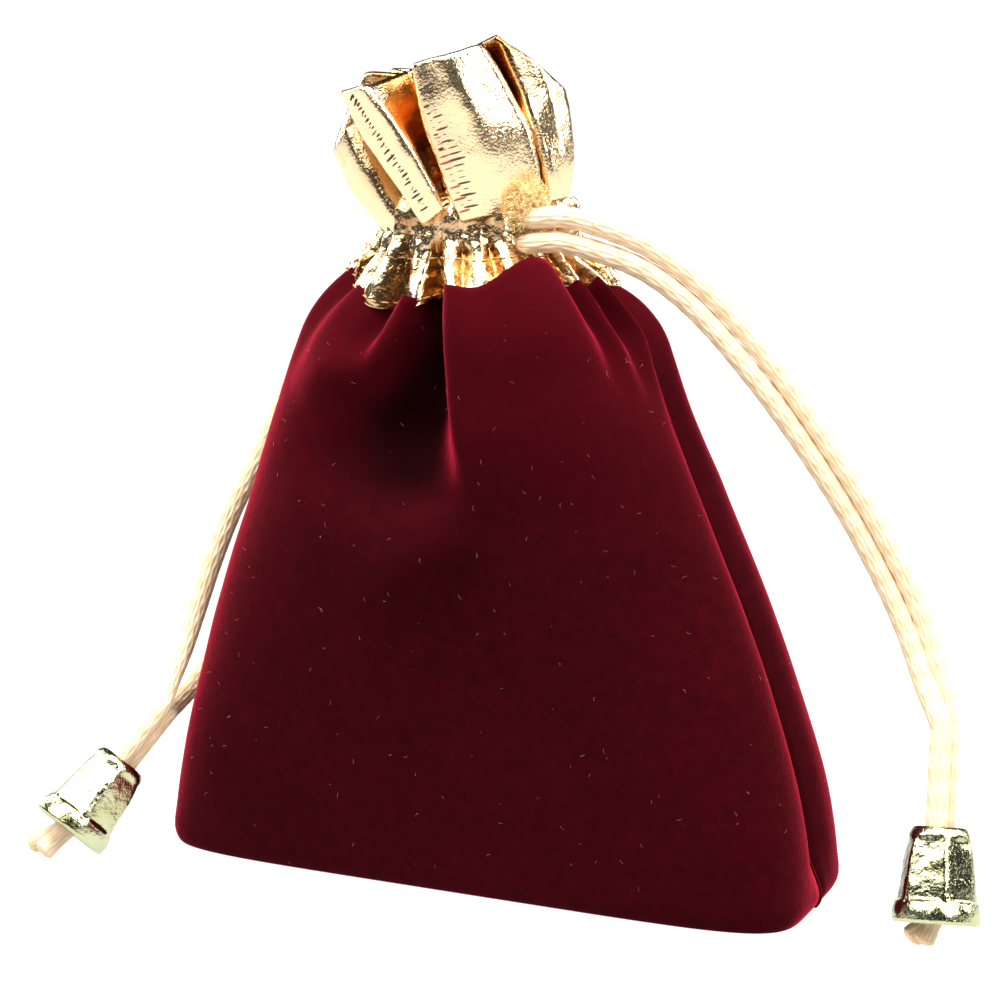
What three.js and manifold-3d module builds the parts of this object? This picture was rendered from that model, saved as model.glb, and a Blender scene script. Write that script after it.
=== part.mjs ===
// Drawstring gift pouch: a velvet body with a gathered gold collar and two cord loops that end in bell beads.
// Millimetres, +Z up. The front panel faces -Y, and the origin is under the middle of the base.
import * as THREE from "three";
import { mergeVertices } from "three/addons/utils/BufferGeometryUtils.js";
import Module from "manifold-3d";

// ---- driving dimensions -------------------------------------------------------------------------

const SEAM_GAP = 0.3; // clearance between pieces that are sewn together
const VELVET_THICKNESS = 1.2; // pile and backing
const BASE_FLATNESS = [0, 0.35, 0.7]; // rows of the flat base, as shares of its half depth
const BASE_SEAM_SHARE = 0.95; // half length of the bottom seam over the half width of the base

// One station for each height: half width, half depth, squareness of the section, depth of the folds.
const VELVET_STATIONS = [
  { z: 0, a: 45.4, b: 10.5, p: 3.2, fold: 0 },
  { z: 1, a: 46.9, b: 12.6, p: 3.2, fold: 0 },
  { z: 5, a: 47.4, b: 14.2, p: 3.2, fold: 0 },
  { z: 14, a: 46.4, b: 16.4, p: 3.1, fold: 0 },
  { z: 26, a: 43.6, b: 17.4, p: 3, fold: 0 },
  { z: 38, a: 39.9, b: 17.4, p: 2.9, fold: 0 },
  { z: 50, a: 35.4, b: 17, p: 2.8, fold: 0 },
  { z: 62, a: 30.4, b: 16, p: 2.6, fold: 0.02 },
  { z: 70, a: 27.2, b: 15, p: 2.5, fold: 0.04 },
  { z: 75, a: 24.4, b: 14.3, p: 2.4, fold: 0.05 },
  { z: 78.5, a: 20.6, b: 13.4, p: 2.3, fold: 0.05 },
  { z: 80.8, a: 17.2, b: 12.6, p: 2.2, fold: 0.05 },
];

// The collar also has the wall's thickness. The gold strip is folded double, 1.2 in all, and it stands
// apart at the neck, where the draw channel runs inside it.
const GOLD_STATIONS = [
  { z: 81.2, a: 16.8, b: 12.4, p: 2.2, fold: 0.05, wall: 1.2 },
  { z: 83.2, a: 14.2, b: 11, p: 2.1, fold: 0.03, wall: 2.4 },
  { z: 84.6, a: 13.2, b: 10.1, p: 2, fold: 0.01, wall: 5.2 },
  { z: 87.5, a: 13, b: 9.9, p: 2, fold: 0.01, wall: 5.2 },
  { z: 90.4, a: 13.4, b: 10.2, p: 2, fold: 0.01, wall: 5.2 },
  { z: 92.5, a: 14.2, b: 10.7, p: 2, fold: 0.03, wall: 2.6 },
  { z: 96, a: 15.1, b: 11.3, p: 2, fold: 0.06, wall: 1.6 },
  { z: 101, a: 15.8, b: 11.8, p: 2, fold: 0.09, wall: 1.2 },
  { z: 106, a: 15.8, b: 12, p: 2, fold: 0.11, wall: 1.2 },
  { z: 109.5, a: 15.4, b: 12, p: 2, fold: 0.12, wall: 1.2 },
];

// The pouch leans to one side: where the middle of each section lies along X.
const LEAN = [
  { z: 0, x: 0 },
  { z: 15, x: 0 },
  { z: 40, x: -1.2 },
  { z: 60, x: -2.2 },
  { z: 80, x: -2.6 },
  { z: 84, x: -3 },
  { z: 91, x: -3 },
  { z: 97, x: -5.5 },
  { z: 103, x: -6.8 },
  { z: 110, x: -7.2 },
];

// The gold cloth is sewn to the velvet in gathers, so the join rises and falls round the neck.
const JOIN_RISE = [
  { angle: -180, rise: 0.6 },
  { angle: -140, rise: -1.4 },
  { angle: -115, rise: -3.2 },
  { angle: -90, rise: -1.2 },
  { angle: -72, rise: -1.6 },
  { angle: -52, rise: 1 },
  { angle: -30, rise: -0.4 },
  { angle: 0, rise: -0.2 },
  { angle: 45, rise: -1.6 },
  { angle: 85, rise: 0.8 },
  { angle: 130, rise: -1.4 },
  { angle: 180, rise: 0.6 },
];

const NECK_HEIGHT = 87.5; // middle of the draw channel
const CORD_DIAMETER = 2.8;
const CORD_SPACING = 3.1; // between the two cords that lie one above the other in the channel
const CHANNEL_CLEARANCE = 0.35;
const EXIT_CLEARANCE = 0.8; // the cord bends as it leaves, so its opening is wider
const CHANNEL_RING = { a: 10.3, b: 7.2 }; // middle line of the cords round the neck
const EXIT_REACH = 8; // length of the opening that a loop leaves through, from the middle line outwards
const EXIT_ANGLE = -45; // where the right loop leaves the neck; the left loop leaves opposite it

const BEAD_LENGTH = 12;
const BEAD_FLATS = 6;
const BEAD_FLAT_DEPTH = 0.94; // a flat's distance from the axis over the radius of the ribs
// Depth below the bead's top and radius there, for the outside and then the hollow inside.
const BEAD_OUTSIDE = [
  [0, 3.45],
  [0.4, 3.8],
  [1.3, 4.15],
  [3, 4.5],
  [6, 4.9],
  [9.5, 5.2],
  [10.2, 5.4],
  [11.7, 5.45],
  [12, 5.3],
];
const BEAD_INSIDE = [
  [12, 4.75],
  [11.6, 4.6],
  [6, 4.15],
  [2.4, 3.7],
  [1.4, 3],
  [0.3, 3],
  [0, 3.15],
];
const KNOT_DEPTH = 5.3; // middle of the knot below the bead's top
const KNOT_RADIUS = 3.4;
const KNOT_HALF_HEIGHT = 2.5;
const TAIL_RADIUS = 1.25;
const STRAND_END_DEPTH = 2.3; // a strand ends here, just above the knot
const STRAND_SPREAD = 1.5; // each strand's distance from the bead's axis

const THREAD_RADIUS = 0.25;
const THREAD_CLEARANCE = 0.6; // from the cloth to the middle of the thread
const CHANNEL_STITCH_HEIGHTS = { lower: 83.2, upper: 92.6 };
const SEAM_THREAD_INSET = VELVET_THICKNESS + 2 * THREAD_CLEARANCE; // the seam allowance lies inside the pouch
const SEAM_THREAD_HEIGHTS = [74, 62, 50, 38, 26, 14, 6]; // down one side of the pouch
const SEAM_THREAD_CORNER = 3; // how far in from the corner the thread turns along the bottom

// Each bead: the middle of its mouth, its axis from top to mouth, the direction from one strand to the other
// inside it, the straight run of cord above it, and the tips of the cord tails that stick out.
const BEADS = {
  right: {
    mouth: [63.2, -8.3, 3.4],
    axis: [0.076, -0.34, -0.937],
    across: [0.1, 0.94, -0.33],
    straight: 12.5,
    tips: [
      [61.9, -9.3, 1.5],
      [60.4, -9, 1.6],
    ],
  },
  left: {
    mouth: [-54.3, -23.7, 4],
    axis: [-0.392, -0.581, -0.709],
    across: [0.18, -0.81, 0.56],
    straight: 8.5,
    tips: [
      [-59.8, -24, 1.6],
      [-56.9, -25.9, 1.6],
    ],
  },
};

// Routes of the free strands from the neck to the straight run above the bead.
const STRANDS = {
  drawstring_right_upper_strand: {
    loop: "right",
    side: 1,
    route: [
      [5.6, -6.4, 89.05],
      [6.9, -7.8, 89.1],
      [8.8, -8.6, 89.3],
      [12.1, -7.5, 89.4],
      [16.3, -5.9, 88.3],
      [22.5, -3.6, 85.7],
      [29.4, -1.7, 80.7],
      [36.9, 0, 72.2],
      [44.7, 1.8, 61.5],
      [51.3, 3.1, 51.3],
      [57, 4, 40.5],
      [60.3, 3.3, 32],
    ],
  },
  drawstring_right_lower_strand: {
    loop: "right",
    side: -1,
    route: [
      [5.6, -6.4, 85.95],
      [6.9, -7.8, 85.9],
      [8.6, -8.7, 86.1],
      [11.5, -7.8, 86.3],
      [15.7, -6.2, 85.2],
      [21.4, -4.2, 82.8],
      [27.4, -2.6, 78.2],
      [34.9, -0.9, 70],
      [42.4, 0.9, 59.5],
      [48.7, 2.3, 49.3],
      [54.4, 2.6, 38.3],
      [57.9, 0.5, 31],
    ],
  },
  drawstring_left_front_strand: {
    loop: "left",
    side: 1,
    route: [
      [-11.6, 6.4, 89.05],
      [-13, 7.6, 89],
      [-15.2, 8.2, 88.2],
      [-19.2, 8, 85.2],
      [-24.6, 8, 80],
      [-30.8, 8.3, 71.8],
      [-35.6, 7.3, 61.8],
      [-39, 5, 53],
      [-42, 2.4, 45.6],
      [-44.3, 0, 38],
      [-45.6, -2.4, 31.6],
      [-46.2, -5.4, 26.4],
      [-46.3, -9.2, 22.4],
    ],
  },
  drawstring_left_rear_strand: {
    loop: "left",
    side: -1,
    route: [
      [-11.6, 6.4, 85.95],
      [-13, 7.8, 85.8],
      [-15.4, 9.8, 84.4],
      [-19.2, 12.2, 80.8],
      [-24, 14.4, 74.6],
      [-30.4, 16.7, 63.4],
      [-35.9, 16.4, 51.6],
      [-40.4, 14.4, 40],
      [-43.9, 11.1, 30.4],
      [-46.7, 5.8, 23.8],
      [-47.8, -0.8, 19.4],
      [-48, -6.8, 17.4],
    ],
  },
};

const COLUMNS = 20; // across one panel
const CORD_SIDES = 8;
const THREAD_SIDES = 4;
const STRAND_STEPS = 32; // sections along a free strand
const SEAM_STEPS = 40;
const RING_STEPS = 30;
const STITCHING_STEPS = 44;
const CAVITY_SIDES = 14;
const EXIT_SIDES = 16;
const BEAD_COLUMNS = 36;
const KNOT_COLUMNS = 14;
const KNOT_ROWS = 8;
const TAIL_SIDES = 10;
const TAIL_CAP_ROWS = 3;

// ---- materials ----------------------------------------------------------------------------------

function material(color, roughness, metalness) {
  return new THREE.MeshStandardMaterial({ color, roughness, metalness });
}

const VELVET = material(0x6e0019, 0.9, 0);
const GOLD_FOIL = material(0xe8c080, 0.28, 0.95);
const CORD = material(0xfbe6b9, 0.55, 0);
const BEAD_PLATING = material(0xd7e1b4, 0.15, 1);
const GOLD_THREAD = material(0xd9a860, 0.5, 0.2);
const VELVET_THREAD = material(0x5a0a18, 0.8, 0);

// ---- solids -------------------------------------------------------------------------------------

const wasm = await Module();
wasm.setup();

function solidOf(geometry) {
  const bare = geometry.clone();
  bare.deleteAttribute("normal");
  bare.deleteAttribute("uv");
  const merged = mergeVertices(bare, 1e-4);
  return new wasm.Manifold(
    new wasm.Mesh({
      numProp: 3,
      vertProperties: merged.attributes.position.array,
      triVerts: new Uint32Array(merged.index.array),
    }),
  );
}

function geometryOf(solid) {
  const mesh = solid.getMesh();
  return new THREE.BufferGeometry()
    .setAttribute("position", new THREE.BufferAttribute(mesh.vertProperties, 3))
    .setIndex(new THREE.BufferAttribute(mesh.triVerts, 1));
}

function geometryFromFaces(points, faces) {
  const geometry = new THREE.BufferGeometry().setFromPoints(points);
  geometry.setIndex(faces.flat());
  return geometry;
}

// A quadrilateral's four corners as two triangles.
function quad(a, b, c, d) {
  return [
    [a, b, c],
    [a, c, d],
  ];
}

// ---- curves -------------------------------------------------------------------------------------

function smoothBetween(t, before, from, to, after) {
  const slopeFrom = (to - before) / 2;
  const slopeTo = (after - from) / 2;
  const rest = to - from;
  const squared = 3 * rest - 2 * slopeFrom - slopeTo;
  const cubed = slopeFrom + slopeTo - 2 * rest;
  return from + t * (slopeFrom + t * (squared + t * cubed));
}

// A value from a list of stations at any height or angle, on a smooth curve through them.
function along(stations, key, field, at) {
  const last = stations.length - 1;
  let i = stations.findIndex((s) => s[key] > at) - 1;
  if (at >= stations[last][key]) i = last - 1;
  i = Math.max(0, i);
  const t = THREE.MathUtils.clamp((at - stations[i][key]) / (stations[i + 1][key] - stations[i][key]), 0, 1);
  const value = (n) => stations[THREE.MathUtils.clamp(n, 0, last)][field];
  return smoothBetween(t, value(i - 1), value(i), value(i + 1), value(i + 2));
}

function leanAt(z) {
  return along(LEAN, "z", "x", z);
}

function joinRise(angle) {
  const degrees = THREE.MathUtils.euclideanModulo(THREE.MathUtils.radToDeg(angle) + 180, 360) - 180;
  return along(JOIN_RISE, "angle", "rise", degrees);
}

function signedPower(value, power) {
  return Math.sign(value) * Math.abs(value) ** power;
}

function velvetFolds(angle) {
  return 0.6 * Math.cos(7 * angle + 0.9) + 0.4 * Math.cos(4 * angle + 2);
}

function goldPleats(angle) {
  return 0.75 * Math.cos(7 * angle + 0.6) + 0.25 * Math.cos(11 * angle);
}

// A point on a section at a station, drawn in by inset.
function sectionPoint(stations, z, angle, inset, folds, share = 1) {
  const p = along(stations, "z", "p", z);
  const wave = 1 + along(stations, "z", "fold", z) * folds(angle);
  const x = (along(stations, "z", "a", z) - inset) * wave * signedPower(Math.cos(angle), 2 / p);
  const y = (along(stations, "z", "b", z) - inset) * wave * signedPower(Math.sin(angle), 2 / p);
  return new THREE.Vector3(leanAt(z) + x, share * y, z);
}

// ---- cloth shells -------------------------------------------------------------------------------

// One closed body between an outer and an inner grid of the same rows and columns.
function shellBetween(outer, inner) {
  const rows = outer.length;
  const columns = outer[0].length;
  const points = [...outer.flat(), ...inner.flat()];
  const out = (r, c) => r * columns + c;
  const into = (r, c) => rows * columns + r * columns + c;
  const faces = [];
  const end = columns - 1;
  for (let r = 0; r < rows - 1; r++) {
    for (let c = 0; c < end; c++) {
      faces.push(...quad(out(r, c), out(r, c + 1), out(r + 1, c + 1), out(r + 1, c)));
      faces.push(...quad(into(r, c), into(r + 1, c), into(r + 1, c + 1), into(r, c + 1)));
    }
    faces.push(...quad(out(r, 0), out(r + 1, 0), into(r + 1, 0), into(r, 0)));
    faces.push(...quad(out(r, end), into(r, end), into(r + 1, end), out(r + 1, end)));
  }
  for (let c = 0; c < end; c++) {
    faces.push(...quad(out(0, c), into(0, c), into(0, c + 1), out(0, c + 1)));
    faces.push(...quad(out(rows - 1, c), out(rows - 1, c + 1), into(rows - 1, c + 1), into(rows - 1, c)));
  }
  return geometryFromFaces(points, faces);
}

function anglesFrom(start) {
  return Array.from({ length: COLUMNS + 1 }, (_, c) => start + (Math.PI * c) / COLUMNS);
}

// Moves a panel off the plane that its two side seams share.
function clearOfSeam(point, start) {
  return point.add(new THREE.Vector3(-Math.sin(start), Math.cos(start), 0).multiplyScalar(SEAM_GAP / 2));
}

const VELVET_TOP = VELVET_STATIONS.at(-1).z;
const VELVET_RISE_FROM = 62; // below this height the rows are level

function velvetRow(z, start, inset, lift) {
  const rising = THREE.MathUtils.smoothstep(z, VELVET_RISE_FROM, VELVET_TOP);
  return anglesFrom(start).map((angle) => {
    const point = sectionPoint(VELVET_STATIONS, z, angle, inset, velvetFolds);
    point.z += lift + rising * joinRise(angle);
    return clearOfSeam(point, start);
  });
}

// The base runs from the bottom seam to the edge where the cloth turns up.
function baseRow(share, start, inset, lift) {
  const width = THREE.MathUtils.lerp(BASE_SEAM_SHARE, 1, share);
  return anglesFrom(start).map((angle) => {
    const point = sectionPoint(VELVET_STATIONS, 0, angle, inset, velvetFolds, share);
    point.x *= width;
    point.z += lift;
    return clearOfSeam(point, start);
  });
}

function velvetPanel(start) {
  const rowsAt = (inset, floor) => [
    ...BASE_FLATNESS.map((share) => baseRow(share, start, inset, floor)),
    ...VELVET_STATIONS.map(({ z }) => velvetRow(z, start, inset, Math.max(0, floor - z))),
  ];
  return shellBetween(rowsAt(0, 0), rowsAt(VELVET_THICKNESS, VELVET_THICKNESS));
}

function goldPoint(z, angle, inset) {
  const falling = 1 - THREE.MathUtils.smoothstep(z, GOLD_STATIONS[0].z, CHANNEL_STITCH_HEIGHTS.lower);
  const point = sectionPoint(GOLD_STATIONS, z, angle, inset, goldPleats);
  point.z += falling * joinRise(angle);
  return point;
}

function goldPanel(start) {
  const row = (z, inset) => anglesFrom(start).map((angle) => clearOfSeam(goldPoint(z, angle, inset), start));
  const outer = GOLD_STATIONS.map(({ z }) => row(z, 0));
  const inner = GOLD_STATIONS.map(({ z, wall }) => row(z, wall));
  return solidOf(shellBetween(outer, inner));
}

// ---- cords and threads --------------------------------------------------------------------------

// A closed tube round a loop of points with an oval section: radius across and half height along Z.
function ringTube(loop, across, halfHeight, sides) {
  const count = loop.length;
  const points = [];
  const faces = [];
  loop.forEach((point, i) => {
    const tangent = loop[(i + 1) % count].clone().sub(loop[(i + count - 1) % count]);
    const outward = new THREE.Vector3(tangent.y, -tangent.x, 0).normalize();
    for (let s = 0; s < sides; s++) {
      const turn = (2 * Math.PI * s) / sides;
      const up = new THREE.Vector3(0, 0, halfHeight * Math.sin(turn));
      points.push(point.clone().addScaledVector(outward, across * Math.cos(turn)).add(up));
    }
    const next = ((i + 1) % count) * sides;
    for (let s = 0; s < sides; s++) {
      const above = (s + 1) % sides;
      faces.push(...quad(i * sides + s, next + s, next + above, i * sides + above));
    }
  });
  return geometryFromFaces(points, faces);
}

function channelLoop(z) {
  return Array.from({ length: RING_STEPS }, (_, i) => {
    const angle = (2 * Math.PI * i) / RING_STEPS;
    return new THREE.Vector3(
      leanAt(NECK_HEIGHT) + CHANNEL_RING.a * Math.cos(angle),
      CHANNEL_RING.b * Math.sin(angle),
      z,
    );
  });
}

const CHANNEL_HALF_HEIGHT = (CORD_SPACING + CORD_DIAMETER) / 2 + CHANNEL_CLEARANCE;

function channelCavity() {
  const across = CORD_DIAMETER / 2 + CHANNEL_CLEARANCE;
  return solidOf(ringTube(channelLoop(NECK_HEIGHT), across, CHANNEL_HALF_HEIGHT, CAVITY_SIDES));
}

// The opening in the channel's outer wall that a loop's two ends leave through.
function exitCavity(angle) {
  const radius = CORD_DIAMETER / 2 + EXIT_CLEARANCE;
  const slot = new THREE.CylinderGeometry(radius, radius, EXIT_REACH, EXIT_SIDES);
  slot.rotateZ(Math.PI / 2 + angle).scale(1, 1, CHANNEL_HALF_HEIGHT / radius);
  const middle = new THREE.Vector3(
    leanAt(NECK_HEIGHT) + CHANNEL_RING.a * Math.cos(angle),
    CHANNEL_RING.b * Math.sin(angle),
    NECK_HEIGHT,
  );
  middle.add(new THREE.Vector3(Math.cos(angle), Math.sin(angle), 0).multiplyScalar(EXIT_REACH / 2));
  return solidOf(slot.translate(middle.x, middle.y, middle.z));
}

function cordRing(z) {
  return ringTube(channelLoop(z), CORD_DIAMETER / 2, CORD_DIAMETER / 2, CORD_SIDES);
}

// Thread that runs round the collar, just off the cloth.
function threadRing(pointAt) {
  const angles = Array.from({ length: STITCHING_STEPS }, (_, i) => (2 * Math.PI * i) / STITCHING_STEPS);
  const loop = angles.map(pointAt);
  return ringTube(loop, THREAD_RADIUS, THREAD_RADIUS, THREAD_SIDES);
}

// A full arc is drawn with two points for each curve segment.
function tubeAlong(curve, radius, sides, steps) {
  const section = new THREE.Shape();
  section.absarc(0, 0, radius, 0, 2 * Math.PI);
  return new THREE.ExtrudeGeometry(section, {
    curveSegments: sides / 2,
    steps,
    bevelEnabled: false,
    extrudePath: curve,
  });
}

function vector(list) {
  return new THREE.Vector3(...list);
}

// A bead's place: the middle of its top, its axis and the direction between its strands.
function beadFrame({ mouth, axis, across }) {
  const down = vector(axis).normalize();
  const sideways = vector(across).projectOnPlane(down).normalize();
  const top = vector(mouth).addScaledVector(down, -BEAD_LENGTH);
  return { top, down, sideways };
}

function strand({ loop, side, route }) {
  const bead = BEADS[loop];
  const { top, down, sideways } = beadFrame(bead);
  const offset = sideways.clone().multiplyScalar(side * STRAND_SPREAD);
  const straight = [-bead.straight, -bead.straight / 2, 0, STRAND_END_DEPTH];
  const run = straight.map((depth) => top.clone().addScaledVector(down, depth).add(offset));
  const curve = new THREE.CatmullRomCurve3([...route.map(vector), ...run]);
  return tubeAlong(curve, CORD_DIAMETER / 2, CORD_SIDES, STRAND_STEPS);
}

// The seam that joins the two velvet panels: down one side, along the bottom and up the other, on the inside.
function bodySeamThread() {
  const side = (angle) =>
    SEAM_THREAD_HEIGHTS.map((z) => sectionPoint(VELVET_STATIONS, z, angle, SEAM_THREAD_INSET, velvetFolds));
  const corner = BASE_SEAM_SHARE * VELVET_STATIONS[0].a - SEAM_THREAD_INSET - SEAM_THREAD_CORNER;
  const across = [-corner, -corner / 2, 0, corner / 2, corner];
  const bottom = across.map((x) => new THREE.Vector3(x, 0, SEAM_THREAD_INSET));
  const path = [...side(Math.PI), ...bottom, ...side(0).reverse()];
  return tubeAlong(new THREE.CatmullRomCurve3(path), THREAD_RADIUS, THREAD_SIDES, SEAM_STEPS);
}

// ---- beads and knots ----------------------------------------------------------------------------

function placeInBead(geometry, { top, down, sideways }) {
  const third = new THREE.Vector3().crossVectors(down, sideways);
  const turn = new THREE.Matrix4().makeBasis(sideways, third, down).setPosition(top);
  return geometry.applyMatrix4(turn);
}

// A bell with a hole in its top: a lathe whose outside is cut by six flats.
function bead(frame) {
  const columns = BEAD_COLUMNS;
  const profile = [...BEAD_OUTSIDE.map((p) => [...p, true]), ...BEAD_INSIDE.map((p) => [...p, false])];
  const points = [];
  const faces = [];
  const sector = (2 * Math.PI) / BEAD_FLATS;
  profile.forEach(([depth, radius, outside], row) => {
    const flatted = outside && depth > 1 && depth < 10;
    for (let c = 0; c < columns; c++) {
      const angle = (2 * Math.PI * c) / columns;
      const local = THREE.MathUtils.euclideanModulo(angle, sector) - sector / 2;
      const r = flatted ? Math.min(radius, (BEAD_FLAT_DEPTH * radius) / Math.cos(local)) : radius;
      points.push(new THREE.Vector3(r * Math.cos(angle), r * Math.sin(angle), depth));
    }
    const next = ((row + 1) % profile.length) * columns;
    for (let c = 0; c < columns; c++) {
      const beside = (c + 1) % columns;
      faces.push(...quad(row * columns + c, row * columns + beside, next + beside, next + c));
    }
  });
  return placeInBead(geometryFromFaces(points, faces), frame);
}

// A short round bar with domed ends between two points.
function tail(from, to) {
  const length = from.distanceTo(to);
  const bar = new THREE.CapsuleGeometry(TAIL_RADIUS, length, TAIL_CAP_ROWS, TAIL_SIDES);
  const turn = new THREE.Quaternion().setFromUnitVectors(
    new THREE.Vector3(0, 1, 0),
    to.clone().sub(from).normalize(),
  );
  const middle = from.clone().add(to).multiplyScalar(0.5);
  return solidOf(bar.applyQuaternion(turn).translate(middle.x, middle.y, middle.z));
}

// The knot that stops the bead, with the two sealed tails of the cord.
function knot(frame, tips) {
  const ball = new THREE.SphereGeometry(KNOT_RADIUS, KNOT_COLUMNS, KNOT_ROWS).rotateX(Math.PI / 2);
  ball.scale(1, 1, KNOT_HALF_HEIGHT / KNOT_RADIUS).translate(0, 0, KNOT_DEPTH);
  let whole = solidOf(placeInBead(ball, frame));
  const core = frame.top.clone().addScaledVector(frame.down, KNOT_DEPTH);
  for (const tip of tips) {
    whole = whole.add(tail(core, vector(tip)));
  }
  return geometryOf(whole);
}

// ---- assembly -----------------------------------------------------------------------------------

const pouch = new THREE.Group();

function addPiece(name, geometry, finish) {
  const piece = new THREE.Mesh(geometry, finish);
  piece.name = name;
  pouch.add(piece);
}

const FRONT_FROM = -Math.PI;
const EXIT = THREE.MathUtils.degToRad(EXIT_ANGLE);

addPiece("velvet_front_panel", velvetPanel(FRONT_FROM), VELVET);
addPiece("velvet_back_panel", velvetPanel(0), VELVET);
addPiece("body_seam_thread", bodySeamThread(), VELVET_THREAD);

const hollow = channelCavity().add(exitCavity(EXIT)).add(exitCavity(EXIT + Math.PI));
addPiece("gold_collar_front", geometryOf(goldPanel(EXIT - Math.PI).subtract(hollow)), GOLD_FOIL);
addPiece("gold_collar_back", geometryOf(goldPanel(EXIT).subtract(hollow)), GOLD_FOIL);

for (const [name, z] of Object.entries(CHANNEL_STITCH_HEIGHTS)) {
  const stitching = threadRing((angle) => goldPoint(z, angle, -THREAD_CLEARANCE));
  addPiece(`channel_stitching_${name}`, stitching, GOLD_THREAD);
}
const joinHeight = GOLD_STATIONS[0].z + SEAM_GAP;
const joinStitching = threadRing((angle) => goldPoint(joinHeight, angle, -THREAD_CLEARANCE));
addPiece("join_stitching", joinStitching, GOLD_THREAD);

addPiece("drawstring_right_neck_run", cordRing(NECK_HEIGHT - CORD_SPACING / 2), CORD);
addPiece("drawstring_left_neck_run", cordRing(NECK_HEIGHT + CORD_SPACING / 2), CORD);
for (const [name, facts] of Object.entries(STRANDS)) {
  addPiece(name, strand(facts), CORD);
}

for (const [side, facts] of Object.entries(BEADS)) {
  const frame = beadFrame(facts);
  addPiece(`bead_${side}`, bead(frame), BEAD_PLATING);
  addPiece(`cord_knot_${side}`, knot(frame, facts.tips), CORD);
}

export default pouch;
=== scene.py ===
"""Drawstring gift pouch: velvet body, pleated gold foil collar, satin drawstrings and plated bell beads.

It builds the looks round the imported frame, piece by piece, from the operators below.
"""

import math

import bmesh
import bpy
import numpy as np
from bpy.props import FloatProperty, FloatVectorProperty, IntProperty, PointerProperty
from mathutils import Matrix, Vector


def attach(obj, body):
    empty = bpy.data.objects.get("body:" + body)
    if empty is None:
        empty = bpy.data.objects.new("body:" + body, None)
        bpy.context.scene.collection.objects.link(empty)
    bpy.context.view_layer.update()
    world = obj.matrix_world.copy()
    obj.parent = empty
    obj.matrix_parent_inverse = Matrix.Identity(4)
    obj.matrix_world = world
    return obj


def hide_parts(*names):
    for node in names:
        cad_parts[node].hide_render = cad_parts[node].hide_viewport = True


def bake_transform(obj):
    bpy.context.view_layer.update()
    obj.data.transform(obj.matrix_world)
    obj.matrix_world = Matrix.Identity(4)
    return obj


bl_info = {
    "name": "Drawstring gift pouch",
    "version": (1, 0, 0),
    "blender": (4, 5, 0),
    "location": "3D View > Sidebar > Pouch",
    "description": "Builds a velvet gift pouch with a pleated gold collar and beaded drawstrings",
    "category": "Add Mesh",
}

MM = 0.001
TAU = 2 * math.pi
UP = (0.0, 0.0, 1.0)

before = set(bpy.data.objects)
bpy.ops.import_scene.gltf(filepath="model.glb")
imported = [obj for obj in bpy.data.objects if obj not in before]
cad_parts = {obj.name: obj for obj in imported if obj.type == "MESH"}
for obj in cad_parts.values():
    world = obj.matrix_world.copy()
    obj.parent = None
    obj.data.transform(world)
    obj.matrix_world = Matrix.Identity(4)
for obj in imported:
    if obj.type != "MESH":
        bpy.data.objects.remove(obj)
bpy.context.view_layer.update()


# ---- numbers and curves ----


def smoothstep(low, high, value):
    t = np.clip((np.asarray(value, float) - low) / (high - low), 0, 1)
    return t * t * (3 - 2 * t)


def through(xs, ys, at):
    """A smooth curve through stations, at any places."""
    xs, ys, at = (np.asarray(v, float) for v in (xs, ys, at))
    slopes = np.gradient(ys, xs)
    at = np.clip(at, xs[0], xs[-1])
    i = np.clip(np.searchsorted(xs, at, side="right") - 1, 0, len(xs) - 2)
    step = xs[i + 1] - xs[i]
    t = (at - xs[i]) / step
    from_value, to_value = ys[i], ys[i + 1]
    from_slope, to_slope = slopes[i] * step, slopes[i + 1] * step
    rest = to_value - from_value
    return from_value + t * (
        from_slope + t * (3 * rest - 2 * from_slope - to_slope + t * (from_slope + to_slope - 2 * rest))
    )


def round_table(pairs, degrees):
    """A smooth closed curve through (angle, value) pairs, at any angles."""
    angles = np.array([a for a, _ in pairs], float)
    values = np.array([v for _, v in pairs], float)
    angles = np.concatenate([angles - 360, angles, angles + 360])
    values = np.concatenate([values, values, values])
    wrapped = (np.asarray(degrees, float) + 180) % 360 - 180
    return through(angles, values, wrapped)


def hashed(*grids):
    """Repeatable values from 0 to 1 for whole-number places."""
    total = sum(g * k for g, k in zip(grids, (127.1, 311.7, 74.7)))
    return np.modf(np.abs(np.sin(total) * 43758.5453))[0]


def wander(points, scale, seed=0.0):
    """Soft three-dimensional noise from -1 to 1, with features about 1/scale apart."""
    p = np.asarray(points, float) * scale + seed
    base = np.floor(p)
    part = p - base
    part = part * part * (3 - 2 * part)
    total = np.zeros(p.shape[:-1])
    for dx in (0, 1):
        for dy in (0, 1):
            for dz in (0, 1):
                weight = (
                    (part[..., 0] if dx else 1 - part[..., 0])
                    * (part[..., 1] if dy else 1 - part[..., 1])
                    * (part[..., 2] if dz else 1 - part[..., 2])
                )
                total += weight * hashed(base[..., 0] + dx, base[..., 1] + dy, base[..., 2] + dz)
    return 2 * total - 1


def spline_through(points, steps):
    """A smooth open line through points, with evenly spaced places along it."""
    points = np.asarray(points, float)
    lengths = np.sqrt(np.linalg.norm(np.diff(points, axis=0), axis=1))
    knots = np.concatenate([[0], np.cumsum(lengths)])
    fine = np.linspace(0, knots[-1], 40 * len(points))
    dense = np.stack([through(knots, points[:, k], fine) for k in range(3)], axis=1)
    run = np.concatenate([[0], np.cumsum(np.linalg.norm(np.diff(dense, axis=0), axis=1))])
    even = np.linspace(0, run[-1], steps)
    return np.stack([np.interp(even, run, dense[:, k]) for k in range(3)], axis=1)


def unit(vectors):
    vectors = np.asarray(vectors, float)
    return vectors / np.maximum(np.linalg.norm(vectors, axis=-1, keepdims=True), 1e-12)


# ---- meshes ----


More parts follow.
